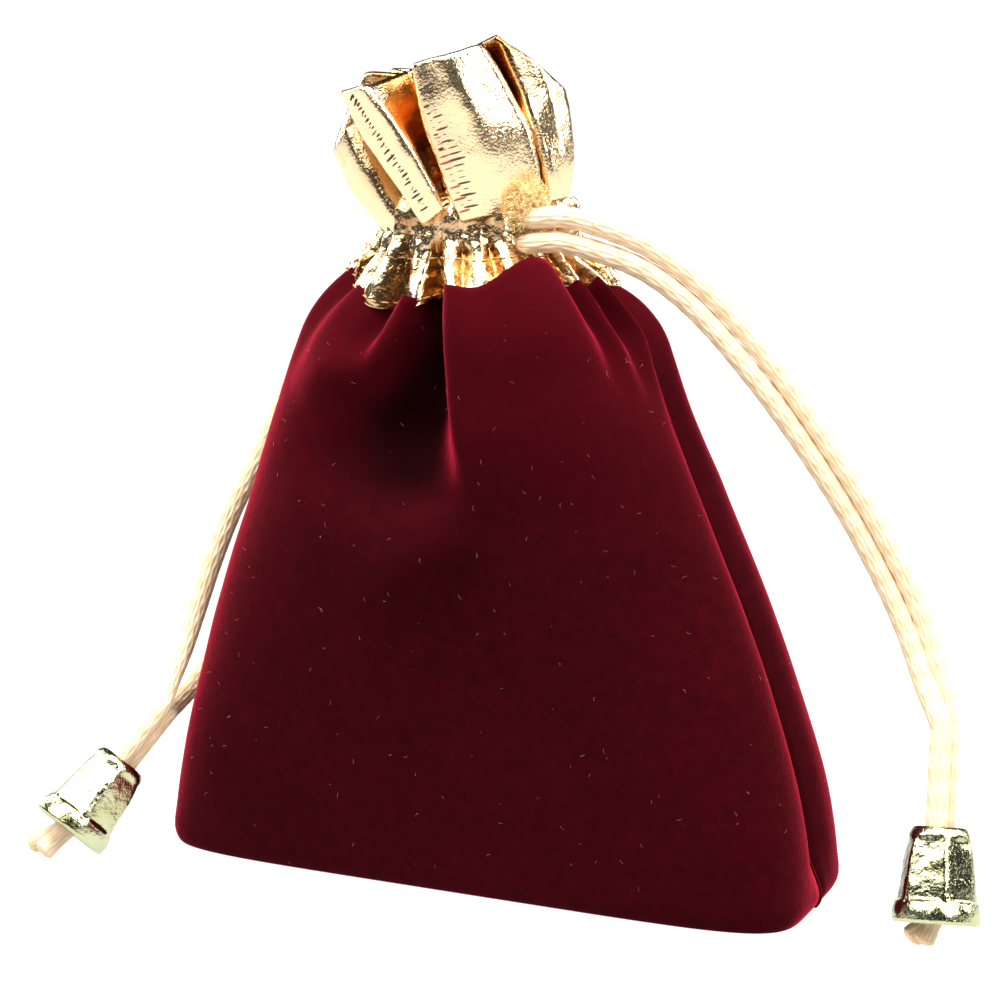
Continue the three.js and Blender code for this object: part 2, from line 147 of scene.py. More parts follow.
def grid_normals(grid, wrap):
    if wrap:
        across = np.roll(grid, -1, axis=1) - np.roll(grid, 1, axis=1)
    else:
        across = np.gradient(grid, axis=1)
    return unit(np.cross(across, np.gradient(grid, axis=0)))


def run_lengths(grid, axis):
    steps = np.linalg.norm(np.diff(grid, axis=axis), axis=2)
    pad = [(0, 0), (0, 0)]
    pad[axis] = (1, 0)
    return np.pad(np.cumsum(steps, axis=axis), pad)


def quads_between(rows, columns, wrap_rows, wrap_columns):
    r = np.arange(rows if wrap_rows else rows - 1)[:, None]
    c = np.arange(columns if wrap_columns else columns - 1)[None, :]
    below, above = r * columns, ((r + 1) % rows) * columns
    beside = (c + 1) % columns
    return np.stack([below + c, below + beside, above + beside, above + c], axis=-1).reshape(-1, 4)


def mesh_object(name, points, faces, uv=None, turn_out=True):
    """A smooth mesh object from points in millimetres."""
    mesh = bpy.data.meshes.new(name)
    mesh.from_pydata((np.asarray(points, float) * MM).tolist(), [], [list(map(int, f)) for f in faces])
    if uv is not None:
        layer = mesh.uv_layers.new(name="UVMap")
        loops = np.empty(len(mesh.loops), int)
        mesh.loops.foreach_get("vertex_index", loops)
        layer.data.foreach_set("uv", np.asarray(uv, np.float32)[loops].ravel())
    if turn_out:
        shape = bmesh.new()
        shape.from_mesh(mesh)
        bmesh.ops.recalc_face_normals(shape, faces=shape.faces)
        shape.to_mesh(mesh)
        shape.free()
    mesh.polygons.foreach_set("use_smooth", np.ones(len(mesh.polygons), bool))
    mesh.update()
    obj = bpy.data.objects.new(name, mesh)
    bpy.context.scene.collection.objects.link(obj)
    return obj


def thick_cloth(name, outer, thickness, wrap, rim=0.0):
    """A closed cloth with that thickness, from the grid of its outer face. rim rounds the top edge."""
    rows, columns = outer.shape[:2]
    inner = outer - grid_normals(outer, wrap) * np.asarray(thickness)[..., None]
    v = run_lengths(outer, 0)
    u = run_lengths(outer, 1)
    rings = [outer]
    heights = [v]
    if rim:
        crest = (outer[-1] + inner[-1]) / 2 + rim * unit(outer[-1] - outer[-2])
        rings.append(crest[None])
        heights.append(v[-1:] + rim)
    rings.append(inner[::-1])
    heights.append(v[::-1])
    grid = np.concatenate(rings)
    widths = [u, u[-1:], u[::-1]] if rim else [u, u[::-1]]
    uv = np.stack([np.concatenate(widths), np.concatenate(heights)], -1)
    faces = quads_between(len(grid), columns, True, wrap).tolist()
    if not wrap:
        last = len(grid) - 1
        for c in (0, columns - 1):
            for r in range(rows - 1):
                a, b = r * columns + c, (r + 1) * columns + c
                d, e = (last - r) * columns + c, (last - r - 1) * columns + c
                faces.append([b, a, d, e] if c == 0 else [a, b, e, d])
            if rim:
                faces.append([(rows - 1) * columns + c, rows * columns + c, (rows + 1) * columns + c])
    return mesh_object(name, grid.reshape(-1, 3), faces, (uv * MM).reshape(-1, 2))


def store_painted_shade(obj, values, rim=False):
    """Stores how deep between the folds each point of a thick_cloth lies, from 0 to 1, as the painted shade
    that its material puts between the folds.
    """
    rings = [values, values[-1:], values[::-1]] if rim else [values, values[::-1]]
    layer = obj.data.attributes.new("fold_depth", "FLOAT", "POINT")
    layer.data.foreach_set("value", np.concatenate(rings).astype(np.float32).ravel())


def hollow_depth(grid, reach, low, high):
    """How deep each place of a closed grid lies between the folds beside it, from 0 to 1."""
    middle = grid.mean(axis=1, keepdims=True)
    out = np.linalg.norm((grid - middle)[..., :2], axis=2)
    crest = out
    for step in range(1, reach + 1):
        crest = np.maximum(crest, np.maximum(np.roll(out, step, axis=1), np.roll(out, -step, axis=1)))
    return smoothstep(low, high, crest - out)


def frames_along(line):
    """Two directions across a line at each of its points, which turn as little as they can."""
    tangents = unit(np.gradient(line, axis=0))
    side = np.cross(tangents[0], UP)
    if np.linalg.norm(side) < 0.1:
        side = np.cross(tangents[0], (1.0, 0.0, 0.0))
    sides = []
    for tangent in tangents:
        side = side - tangent * np.dot(side, tangent)
        side = side / np.linalg.norm(side)
        sides.append(side)
    sides = np.array(sides)
    return sides, np.cross(tangents, sides)


def tube_mesh(name, line, radius, sides, closed=False, relief=None, flatten=1.0):
    """A tube along a line. relief(run, turn) scales the radius; flatten is its height over its width."""
    line = np.asarray(line, float)
    count = len(line)
    across, over = frames_along(line)
    if closed:
        tangents = unit(np.roll(line, -1, axis=0) - np.roll(line, 1, axis=0))
        across = unit(np.cross(tangents, UP))
        over = np.cross(tangents, across)
    run = np.concatenate([[0], np.cumsum(np.linalg.norm(np.diff(line, axis=0), axis=1))])
    turn = TAU * np.arange(sides) / sides
    radii = np.broadcast_to(np.asarray(radius, float), (count,))[:, None] * np.ones((count, sides))
    if relief is not None:
        radii = radii * relief(run[:, None], turn[None, :])
    grid = (
        line[:, None]
        + across[:, None] * (radii * np.cos(turn))[..., None]
        + over[:, None] * (radii * np.sin(turn) * flatten)[..., None]
    )
    uv = np.stack(np.broadcast_arrays((turn / TAU)[None, :], run[:, None] * MM), axis=-1).reshape(-1, 2)
    points = grid.reshape(-1, 3)
    faces = quads_between(count, sides, closed, True).tolist()
    if not closed:
        points = np.concatenate([points, line[:1], line[-1:]])
        uv = np.concatenate([uv, [[0.5, 0]], [[0.5, run[-1] * MM]]])
        first, last = count * sides, count * sides + 1
        for s in range(sides):
            faces.append([first, (s + 1) % sides, s])
            faces.append([last, (count - 1) * sides + s, (count - 1) * sides + (s + 1) % sides])
    return mesh_object(name, points, faces, uv)


def joined(name, *objects):
    """One object from several, with the meshes in one."""
    bpy.ops.object.select_all(action="DESELECT")
    for obj in objects:
        obj.select_set(True)
    bpy.context.view_layer.objects.active = objects[0]
    bpy.ops.object.join()
    objects[0].name = objects[0].data.name = name
    return objects[0]


def finish_piece(obj, material, body, replaces=()):
    if material is not None:
        obj.data.materials.clear()
        obj.data.materials.append(material)
    if body:
        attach(obj, body)
    if replaces:
        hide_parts(*replaces)
    return obj


# ---- materials ----


class Value:
    """A node's output, on which arithmetic adds Math nodes."""

    def __init__(self, finish, socket):
        self.finish = finish
        self.socket = socket

    def _with(self, operation, *others, first=False):
        values = [*others, self] if first else [self, *others]
        return self.finish.node("ShaderNodeMath", {"operation": operation}, dict(enumerate(values)))

    def __add__(self, other):
        return self._with("ADD", other)

    def __sub__(self, other):
        return self._with("SUBTRACT", other)

    def __rsub__(self, other):
        return self._with("SUBTRACT", other, first=True)

    def __mul__(self, other):
        return self._with("MULTIPLY", other)

    __radd__ = __add__
    __rmul__ = __mul__

    def wave(self):
        return self._with("SINE")

    def clipped(self):
        return self.finish.node("ShaderNodeClamp", {}, {"Value": self})

    def between(self, low, high):
        """0 up to low and 1 from high, straight between them."""
        return self.finish.node("ShaderNodeMapRange", {}, {"Value": self, "From Min": low, "From Max": high})


class Finish:
    """One material, whose nodes are made by node()."""

    def __init__(self, name):
        self.material = bpy.data.materials.new(name)
        self.material.use_nodes = True
        self.tree = self.material.node_tree
        self.shader = next(n for n in self.tree.nodes if n.type == "BSDF_PRINCIPLED")
        self.place = self.node("ShaderNodeTexCoord", {}, {}, "Object")
        self.uv = self.node("ShaderNodeTexCoord", {}, {}, "UV")

    def node(self, kind, settings, inputs, output=0):
        made = self.tree.nodes.new(kind)
        stops = settings.pop("stops", None)
        for key, value in settings.items():
            setattr(made, key, value)
        if stops:
            ramp = made.color_ramp
            while len(ramp.elements) < len(stops):
                ramp.elements.new(0.5)
            for element, (position, colour) in zip(ramp.elements, stops):
                element.position = position
                element.color = (*colour, 1)
        for key, value in inputs.items():
            self.put(made.inputs[key], value)
        return Value(self, made.outputs[output])

    def put(self, socket, value):
        if isinstance(value, Value):
            self.tree.links.new(value.socket, socket)
        elif hasattr(value, "__len__") and len(value) == 3 and socket.type == "RGBA":
            socket.default_value = (*value, 1)
        else:
            socket.default_value = value

    def set(self, **inputs):
        for key, value in inputs.items():
            self.put(self.shader.inputs[key.replace("_", " ")], value)

    def noise(self, scale, detail=2.0, roughness=0.5, at=None, distortion=0.0):
        return self.node(
            "ShaderNodeTexNoise",
            {},
            {
                "Vector": at or self.place,
                "Scale": scale,
                "Detail": detail,
                "Roughness": roughness,
                "Distortion": distortion,
            },
        )

    # the fold_depth attribute holds painted shade, which darkens a cloth's colour between its folds
    def fold_depth(self):
        return self.node("ShaderNodeAttribute", {"attribute_name": "fold_depth"}, {}, "Fac")

    def cells(self, scale, smoothness):
        inputs = {"Vector": self.place, "Scale": scale, "Smoothness": smoothness}
        return self.node("ShaderNodeTexVoronoi", {"feature": "SMOOTH_F1"}, inputs)

    def stretched(self, source, scale):
        return self.node("ShaderNodeMapping", {}, {"Vector": source, "Scale": scale})

    def parts(self, source):
        made = self.tree.nodes.new("ShaderNodeSeparateXYZ")
        self.put(made.inputs[0], source)
        return [Value(self, made.outputs[k]) for k in range(3)]

    def mix(self, share, first, second):
        made = self.tree.nodes.new("ShaderNodeMix")
        made.data_type = "RGBA"
        for key, value in ((0, share), (6, first), (7, second)):
            self.put(made.inputs[key], value)
        return Value(self, made.outputs[2])

    def ramp(self, value, *stops):
        return self.node("ShaderNodeValToRGB", {"stops": stops}, {0: value})

    def bump(self, height, strength, distance, below=None):
        inputs = {"Height": height, "Strength": strength, "Distance": distance}
        if below is not None:
            inputs["Normal"] = below
        return self.node("ShaderNodeBump", {}, inputs)


def tinted(colour, by):
    return tuple(min(1.0, c * b) for c, b in zip(colour, by))


def velvet_material(name, colour):
    """Short dense pile: dark where it is looked into, lighter at its edges, brushed in soft patches, with
    painted light on its upper part and painted shade in its folds.
    """
    velvet = Finish(name)
    nap = velvet.noise(26.0, 2.0, 0.5)
    brushed = velvet.noise(620.0, 3.0, 0.7)
    pile = velvet.noise(5200.0, 2.0, 0.7)
    deep, bright = tinted(colour, (0.62, 0.55, 0.6)), tinted(colour, (1.5, 1.6, 1.6))
    patches = velvet.ramp(nap * 0.45 + brushed * 0.55, (0.32, deep), (0.5, colour), (0.68, bright))
    flecks = velvet.noise(1500.0, 2.0, 0.6).between(0.62, 0.82)
    # painted light: the pile's colour turns lighter where the cloth draws in towards the neck, as if lit from
    # above
    top_light_share = velvet.parts(velvet.place)[2].between(0.046, 0.084)
    painted_top_light = velvet.mix(top_light_share * 0.55, patches, tinted(colour, (2.8, 3.2, 3.0)))
    surface = velvet.mix(flecks * 0.16, painted_top_light, tinted(colour, (1.9, 3.0, 2.5)))
    velvet.set(
        # painted shade: the colour darkens to a fifth of itself in the folds' hollows, by the fold_depth
        # attribute
        Base_Color=velvet.mix(velvet.fold_depth() * 0.85, surface, tinted(colour, (0.2, 0.2, 0.2))),
        Roughness=(0.78 + 0.18 * pile).clipped(),
        Specular_IOR_Level=0.03,
        Sheen_Weight=0.85,
        Sheen_Roughness=0.32,
        Sheen_Tint=(0.8, 0.028, 0.07, 1),
        Normal=velvet.bump(pile, 0.55, 0.00012, velvet.bump(brushed, 0.25, 0.0004)),
    )
    return velvet.material


def foil_material(name, colour, shade):
    """Metallic foil on cloth: it is bright and pale, its fine crackle breaks up what it reflects, and the
    hollows between its folds get painted shade.
    """
    foil = Finish(name)
    grain = foil.cells(3000.0, 0.6)
    crackle = foil.noise(2300.0, 3.0, 0.6, distortion=0.5)
    creases = foil.noise(420.0, 3.0, 0.55, distortion=0.4)
    wear = foil.noise(800.0, 3.0, 0.6).between(0.55, 0.75)
    surface = foil.mix(wear * 0.3, colour, shade)
    foil.set(
        # painted shade: a dark brown made from the worn colour fills the hollows between the folds, by the
        # fold_depth attribute
        Base_Color=foil.mix(foil.fold_depth() * 0.92, surface, tinted(shade, (0.42, 0.3, 0.14))),
        Metallic=1.0,
        Roughness=(0.12 + 0.18 * crackle).clipped(),
        Normal=foil.bump(
            grain, 0.34, 0.00010, foil.bump(crackle, 0.3, 0.00012, foil.bump(creases, 0.07, 0.0004))
        ),
    )
    return foil.material


# Bundles round the satin cord and their turns in a metre, as they are painted.
SATIN_BUNDLES = 8.0
SATIN_TURNS = 150.0


def satin_material(name, light, shade):
    """Satin cord: bright lengthwise filaments in braided bundles that lean both ways."""
    satin = Finish(name)
    around, along, _ = satin.parts(satin.uv)
    leans = around * (SATIN_BUNDLES * TAU), along * (SATIN_TURNS * TAU)
    left, right = (leans[0] + leans[1]).wave(), (leans[0] - leans[1]).wave()
    braid = left * right
    fine = satin.noise(1.0, 3.0, 0.6, at=satin.stretched(satin.uv, (42.0, 420.0, 1.0)))
    fuzz = satin.noise(3500.0, 2.0, 0.6)
    tone = (0.52 + 0.34 * braid + 0.8 * (fine - 0.5)).clipped()
    satin.set(
        Base_Color=satin.ramp(tone, (0.15, shade), (0.55, light), (0.9, tinted(light, (1.1, 1.1, 1.15)))),
        Roughness=(0.36 + 0.25 * fuzz).clipped(),
        Specular_IOR_Level=0.5,
        Sheen_Weight=0.25,
        Sheen_Roughness=0.4,
        Sheen_Tint=(1.0, 0.93, 0.78, 1),
        Normal=satin.bump(fine, 0.7, 0.00022, satin.bump(braid, 0.3, 0.00012)),
    )
    return satin.material


def plated_material(name, colour):
    """Bright plated metal over a cast surface with soft dents."""
    plate = Finish(name)
    dents = plate.noise(260.0, 2.0, 0.5)
    pits = plate.noise(1900.0, 3.0, 0.65)
    tone = plate.noise(180.0, 2.0, 0.5).between(0.35, 0.7)
    plate.set(
        Base_Color=plate.mix(tone, colour, tinted(colour, (0.92, 0.86, 0.66))),
        Metallic=1.0,
        Roughness=(0.08 + 0.12 * pits).clipped(),
        Normal=plate.bump(dents, 0.35, 0.0009, plate.bump(pits, 0.5, 0.0002)),
    )
    return plate.material


def thread_material(name, colour, gloss=0.45):
    """Twisted sewing thread."""
    thread = Finish(name)
    twist = thread.noise(2600.0, 2.0, 0.5, at=thread.stretched(thread.place, (1.0, 1.0, 2.2)))
    thread.set(
        Base_Color=thread.ramp(twist, (0.3, tinted(colour, (0.6, 0.55, 0.5))), (0.65, colour)),
        Roughness=(gloss + 0.2 * twist).clipped(),
        Normal=thread.bump(twist, 0.5, 0.0001),
    )
    return thread.material


def floor_material(name, colour):
    floor = Finish(name)
    grain = floor.noise(600.0, 2.0, 0.5)
    floor.set(
        Base_Color=floor.mix(grain * 0.2, colour, tinted(colour, (0.98, 0.98, 0.985))),
        Roughness=0.85,
        Specular_IOR_Level=0.1,
        Emission_Color=(1.0, 1.0, 1.0),
        Emission_Strength=1.0,
    )
    return floor.material


MADE = {}


def material(name):
    """One of the pouch's materials, made when it is first asked for."""
    if name not in MADE:
        looks = bpy.context.scene.pouch_finishes
        makers = {
            "velvet": lambda: velvet_material("velvet_pile", tuple(looks.velvet)),
            "foil": lambda: foil_material("gold_foil_cloth", tuple(looks.foil), tuple(looks.foil_wear_and_shade)),
            "satin": lambda: satin_material("satin_cord_cream", tuple(looks.cord), tuple(looks.cord_shade)),
            "bead": lambda: plated_material("plated_pale_gold", tuple(looks.bead)),
            "gold_thread": lambda: thread_material("gold_sewing_thread", (0.62, 0.36, 0.12)),
            "dark_thread": lambda: thread_material("brown_overlock_thread", (0.05, 0.028, 0.016), 0.6),
            "red_thread": lambda: thread_material("red_overlock_thread", (0.55, 0.035, 0.03), 0.6),
            "lint": lambda: thread_material("lint_fibre", (0.62, 0.42, 0.42), 0.7),
            "fuzz": lambda: thread_material("frayed_backing_yarn", (1.0, 0.74, 0.34), 0.6),
            "seared": lambda: thread_material("seared_cord_end", (1.0, 0.7, 0.4), 0.3),
            "floor": lambda: floor_material("pale_floor", (0.1, 0.1, 0.1)),
        }
        MADE[name] = makers[name]()
    return MADE[name]


# ---- the pouch's shape ----

# Height, half width, half depth and squareness of the velvet body's sections, in millimetres.
BODY_STATIONS = np.array(
    [
        (0, 45.2, 14.6, 6.0), (1, 45.9, 15.2, 5.6), (5, 46.0, 15.8, 4.8), (14, 44.8, 16.8, 3.9),
        (26, 41.8, 17.3, 3.3), (38, 38.0, 17.2, 3.0), (50, 33.4, 16.8, 2.75), (62, 29.0, 15.8, 2.55),
        (70, 25.9, 14.8, 2.4), (75, 23.3, 14.1, 2.3), (78.5, 20.0, 13.3, 2.25), (80.8, 17.0, 12.5, 2.2),
    ]
)
LEAN = np.array([(0, -0.3), (15, -0.3), (40, -1.4), (60, -2.4), (80, -2.6), (84, -3), (91, -3)])
BODY_TOP = 80.8
NECK_CENTRE = (-3.0, 0.0)

# How far the edge between velvet and gold rises, by angle round the pouch. -90 is the front.
JOIN_RISE = (
    (-180, 0.6), (-140, -1.4), (-115, -3.4), (-100, -2.4), (-90, -1.0), (-72, -1.9), (-52, 1.2),
    (-30, -0.4), (0, -0.2), (45, -1.6), (85, 0.8), (130, -1.4),
)

# The gathers at the join: how far the cloth stands out (+) or is drawn in (-), by angle.
GATHERS = (
    (-174, -0.8), (-160, 1.0), (-148, -0.4), (-134, 1.5), (-122, 0.6), (-112, -2.2), (-106, 0.3),
    (-101, 0.6), (-94, -3.6), (-86, 0.8), (-70, 1.6), (-55, 1.8), (-42, 0.9), (-34, -2.2), (-25, 0.6),
    (-16, -1.8), (-6, 0.9), (4, -1.7), (16, 1.0), (30, -1.6), (44, 1.3), (58, -1.8), (72, 1.2), (88, -2.2),
    (104, 1.4), (120, -1.8), (136, 1.2), (152, -2.0), (167, 0.9),
)

# Long folds in a velvet panel: places across and up it, each with the height of the fold there and the
# widths of its left and right flanks.
FRONT_FOLDS = (
    # the steep left edge of the big bulge
    (
        (-0.9, 82, 2.6, 0.9, 9), (-0.3, 74, 3.0, 0.9, 10), (0.5, 67, 2.8, 1.1, 11), (1.9, 61, 2.2, 1.6, 12),
        (3.6, 56, 1.2, 2.6, 12), (5.8, 50, 0, 5, 12),
    ),
    # the hollow beside it
    (
        (-3.2, 82, -3.6, 2.0, 1.6), (-3.2, 74, -4.6, 2.6, 2.0), (-3.6, 68, -5.4, 3.8, 2.6),
        (-4.4, 62, -5.2, 5.6, 3.4), (-4.6, 56.5, -3.2, 8.0, 4.6), (-3.0, 51, 0, 8.0, 5.0),
    ),
    # the soft roll under the hollow
    ((5.2, 51.0, 0, 4, 4), (-0.5, 47.5, 1.5, 4.5, 4.5), (-7.0, 44.0, 1.3, 5, 5), (-15, 39, 0, 6, 6)),
    # the roll from the neck to the left shoulder
    (
        (-7.5, 80, 1.2, 3.0, 3.0), (-12.2, 73, 1.9, 3.6, 3.6), (-18.3, 68.8, 1.7, 4.2, 4.2),
        (-24.0, 63.5, 0.2, 5.0, 5.0),
    ),
    # the hollow under that roll
    ((-7.4, 70, -0.6, 4, 4), (-11.5, 64, -2.0, 5, 5), (-17.0, 57.5, -1.4, 6, 6), (-20.5, 50, 0, 7, 7)),
    # the narrow pleat beside the hollow
    ((-5.6, 82, 1.8, 1.1, 1.1), (-6.2, 77.5, 1.3, 1.3, 1.3), (-7.2, 73.5, 0, 1.6, 1.6)),
    # the top of the big bulge
    ((7.0, 82, 1.2, 5, 5), (10.5, 74, 1.6, 6, 6), (15.5, 64, 1.0, 8, 8), (20, 52, 0, 10, 10)),
    # a crease from the shoulder to the right seam
    ((17.5, 78, -1.0, 1.6, 2.2), (22.0, 70, -1.1, 2.0, 2.6), (27.5, 61, -0.5, 2.6, 3.2), (31, 54, 0, 3, 4)),
)
BACK_FOLDS = (
    ((0.5, 82, -2.6, 2.0, 2.0), (0.2, 74, -2.4, 2.6, 2.6), (-1.2, 66, -1.6, 4, 4), (-3.0, 56, 0, 6, 6)),
    ((-7.5, 82, 1.4, 2.6, 2.6), (-10.5, 74, 1.8, 3.6, 3.6), (-15.5, 65, 1.0, 5, 5), (-19, 54, 0, 7, 7)),
    ((5.5, 82, 1.6, 2.6, 2.6), (7.0, 74, 1.9, 4.0, 4.0), (10.5, 64, 1.2, 6, 6), (13.5, 52, 0, 8, 8)),
    ((-12.5, 79, -1.6, 1.8, 1.8), (-17.0, 71, -1.6, 2.4, 2.4), (-22.5, 61, -0.6, 4, 4), (-26, 52, 0, 5, 5)),
    ((12.5, 80, -1.9, 1.6, 2.0), (17.5, 71, -2.0, 2.2, 2.8), (22.0, 62, -0.9, 3.4, 4), (25, 54, 0, 5, 5)),
    ((-4.0, 60, 0, 5, 5), (-6.5, 52, -0.9, 6, 6), (-11.0, 44, -0.8, 7, 7), (-16, 36, 0, 8, 8)),
)


def lean_at(z):
    return through(LEAN[:, 0], LEAN[:, 1], z)


def body_section(z, angle, share=1.0):
    """Points of the velvet body at heights and angles in radians, without its folds."""
    a, b, p = (through(BODY_STATIONS[:, 0], BODY_STATIONS[:, k], z) for k in (1, 2, 3))
    c, s = np.cos(angle), np.sin(angle)
    x = a * np.sign(c) * np.abs(c) ** (2 / p)
    y = b * np.sign(s) * np.abs(s) ** (2 / p)
    return np.stack(np.broadcast_arrays(lean_at(z) + x, y * share, z + 0 * x), axis=-1)


def fold_heights(folds, x, z):
    """How far long folds lift the cloth at places across and up a panel."""
    total = np.zeros(np.shape(x))
    for fold in folds:
        stations = np.array(fold, float)
        best = np.full(np.shape(x), np.inf)
        lift = np.zeros(np.shape(x))
        for near, far in zip(stations[:-1], stations[1:]):
            step = far[:2] - near[:2]
            length = np.linalg.norm(step)
            t = np.clip(((x - near[0]) * step[0] + (z - near[1]) * step[1]) / length**2, 0, 1)
            dx, dz = x - near[0] - t * step[0], z - near[1] - t * step[1]
            distance = np.hypot(dx, dz)
            height, left, right = (near[k] + t * (far[k] - near[k]) for k in (2, 3, 4))
            width = np.where(dx < 0, left, right)
            here = height * np.exp(-((distance / width) ** 2))
            nearer = distance < best
            lift = np.where(nearer, here, lift)
            best = np.where(nearer, distance, best)
        total += lift
    return total


def soften(grid, times):
    """Evens out kinks in a grid of points, with its edges held."""
    for _ in range(times):
        mean = grid.copy()
        mean[1:-1] = (grid[:-2] + 2 * grid[1:-1] + grid[2:]) / 4
        inner = (mean[:, :-2] + 2 * mean[:, 1:-1] + mean[:, 2:]) / 4
        mean[:, 1:-1] = inner
        grid = mean
    return grid


def body_rise(z, angle):
    return smoothstep(62, BODY_TOP, z) * round_table(JOIN_RISE, np.degrees(angle))


# The panels' grid, from seam to seam and from the edge of the base up, and the rows across half the base.
PANEL_COLUMNS = 170
PANEL_ROWS = 118
BASE_ROWS = 12
# Half length of the bottom seam over the half width of the base.
BASE_SEAM_SHARE = 0.95
# Half the gap between the two panels, in millimetres.
PANEL_GAP = 0.05


def velvet_grid(start, folds, settings):
    """The outer face of one velvet panel, from the bottom seam to the neck and from seam to seam, with the
    painted shade at each of its points.
    """
    turn = np.linspace(0, 1, PANEL_COLUMNS)
    turn = turn - 0.055 * np.sin(2 * TAU * turn) / TAU
    angle = (start + math.pi * turn)[None, :]
    shares = np.linspace(0, 1, BASE_ROWS + 1)[:-1, None]
    width = BODY_STATIONS[0, 1] * (BASE_SEAM_SHARE + (1 - BASE_SEAM_SHARE) * shares)
    base = body_section(np.zeros_like(shares), angle, shares)
    base[..., 0] = lean_at(0) + (base[..., 0] - lean_at(0)) * width / BODY_STATIONS[0, 1]
    low = np.array([0, 0.12, 0.35, 0.7, 1.2, 1.9, 2.8, 3.8])
    heights = np.concatenate([low, np.linspace(5, BODY_TOP, PANEL_ROWS - len(low))])[:, None]
    side = body_section(heights, angle)
    normals = grid_normals(side, False)
    away = -1.0 if start < 0 else 1.0
    rise = smoothstep(8, 20, heights)
    lift = settings.fold_depth * fold_heights(folds, side[..., 0], side[..., 2])
    gather = round_table(GATHERS, np.degrees(angle)) * smoothstep(60, BODY_TOP, heights) ** 1.6
    billow = 0.45 * wander(side, 0.05, 3.7 + start) + 0.12 * wander(side, 0.16, 9.1 + start)
    facing = np.abs(np.sin(angle)) ** 0.35
    side = side + normals * (lift * facing + gather + billow * rise * facing)[..., None]
    seam = np.abs(side[..., 1])
    held = smoothstep(0.5, 9, heights) * (1 - 0.65 * smoothstep(66, BODY_TOP, heights))
    crease = settings.seam_crease / MM * held * np.exp(-((seam / 2.1) ** 1.35))
    pucker = 1 + 0.18 * np.sin(heights * 2.9) * np.exp(-seam / 3.0)
    side[..., 0] -= np.sign(np.cos(angle)) * crease * pucker
    side[..., 2] += body_rise(heights, angle)
    grid = np.concatenate([base, side])
    grid[..., 1] += away * PANEL_GAP
    grid = soften(grid, 2)
    grid[..., 2] = np.maximum(grid[..., 2], 0.0)
    # painted shade, from 0 to 1: deep in the folds' hollows and between the gathers at the neck
    painted_fold_shade = np.maximum(smoothstep(0.4, 4.2, -lift * facing), 0.8 * smoothstep(0.8, 3.5, -gather))
    return grid, np.concatenate([np.zeros(base.shape[:2]), painted_fold_shade])


# ---- settings ----


def metres(name, description, default, **limits):
    return FloatProperty(name=name, description=description, default=default, unit="LENGTH", **limits)


def tint(name, description, default):
    return FloatVectorProperty(name=name, description=description, default=default, subtype="COLOR")


class PouchFinishes(bpy.types.PropertyGroup):
    velvet: tint("Velvet", "Colour of the pile", (0.025, 0.0003, 0.0014))
    foil: tint("Foil", "Colour of the gold foil", (1.0, 0.76, 0.46))
    # this colour is also darkened into the painted shade between the foil's folds
    foil_wear_and_shade: tint("Worn foil", "Colour where the foil is rubbed", (0.86, 0.5, 0.2))
    cord: tint("Cord", "Colour of the satin cord", (0.82, 0.61, 0.39))
    cord_shade: tint("Cord shade", "Colour between its filaments", (0.72, 0.47, 0.25))
    bead: tint("Bead", "Colour of the plating", (0.62, 0.64, 0.40))


class PouchVelvet(bpy.types.PropertyGroup):
    thickness: metres("Velvet thickness", "Pile and backing", 0.0011, min=0.0004)
    seam_crease: metres("Seam depth", "How far the side seams are drawn in", 0.0024)
    fold_depth: FloatProperty(
        name="Fold depth", description="Scales the long folds", default=1.35, subtype="FACTOR", min=0, max=2
    )


class PouchCollar(bpy.types.PropertyGroup):
    thickness: metres("Foil cloth thickness", "Foil cloth folded double", 0.0007)
    crumple: metres("Crumple", "Height of the small dents", 0.00005)
    neck_pleats: IntProperty(
        name="Neck pleats", description="Small pleats round the draw channel", default=22, min=8, max=60
    )


class PouchCord(bpy.types.PropertyGroup):
    diameter: metres("Cord diameter", "Thickness of the drawstrings", 0.0028)
    strands: IntProperty(name="Strands", description="Bundles round the cord", default=8, min=3, max=16)
    lay: metres("Lay", "Length of one turn of a bundle", 0.0115, min=0.002)


class PouchStitches(bpy.types.PropertyGroup):
    spacing: metres("Stitch spacing", "From one stitch to the next", 0.0016)
    length: metres("Stitch length", "Thread that shows", 0.0012)
    thickness: metres("Thread thickness", "Thickness of the thread", 0.0002)
    seed: IntProperty(name="Seed", description="Picks the small irregularities", default=4)


class PouchLint(bpy.types.PropertyGroup):
    density: FloatProperty(name="Lint density", description="Fibres per square metre", default=26000.0, min=0)
    length: metres("Fibre length", "Length of a fibre", 0.0006)
    seed: IntProperty(name="Seed", description="Picks where the fibres lie", default=11)


SETTINGS = {
    "pouch_finishes": PouchFinishes,
    "pouch_velvet": PouchVelvet,
    "pouch_collar": PouchCollar,
    "pouch_cord": PouchCord,
    "pouch_stitches": PouchStitches,
    "pouch_lint": PouchLint,
}


# ---- velvet body ----


# The thickness of the side seams' thread in millimetres.
SEAM_THREAD_RADIUS = 0.3


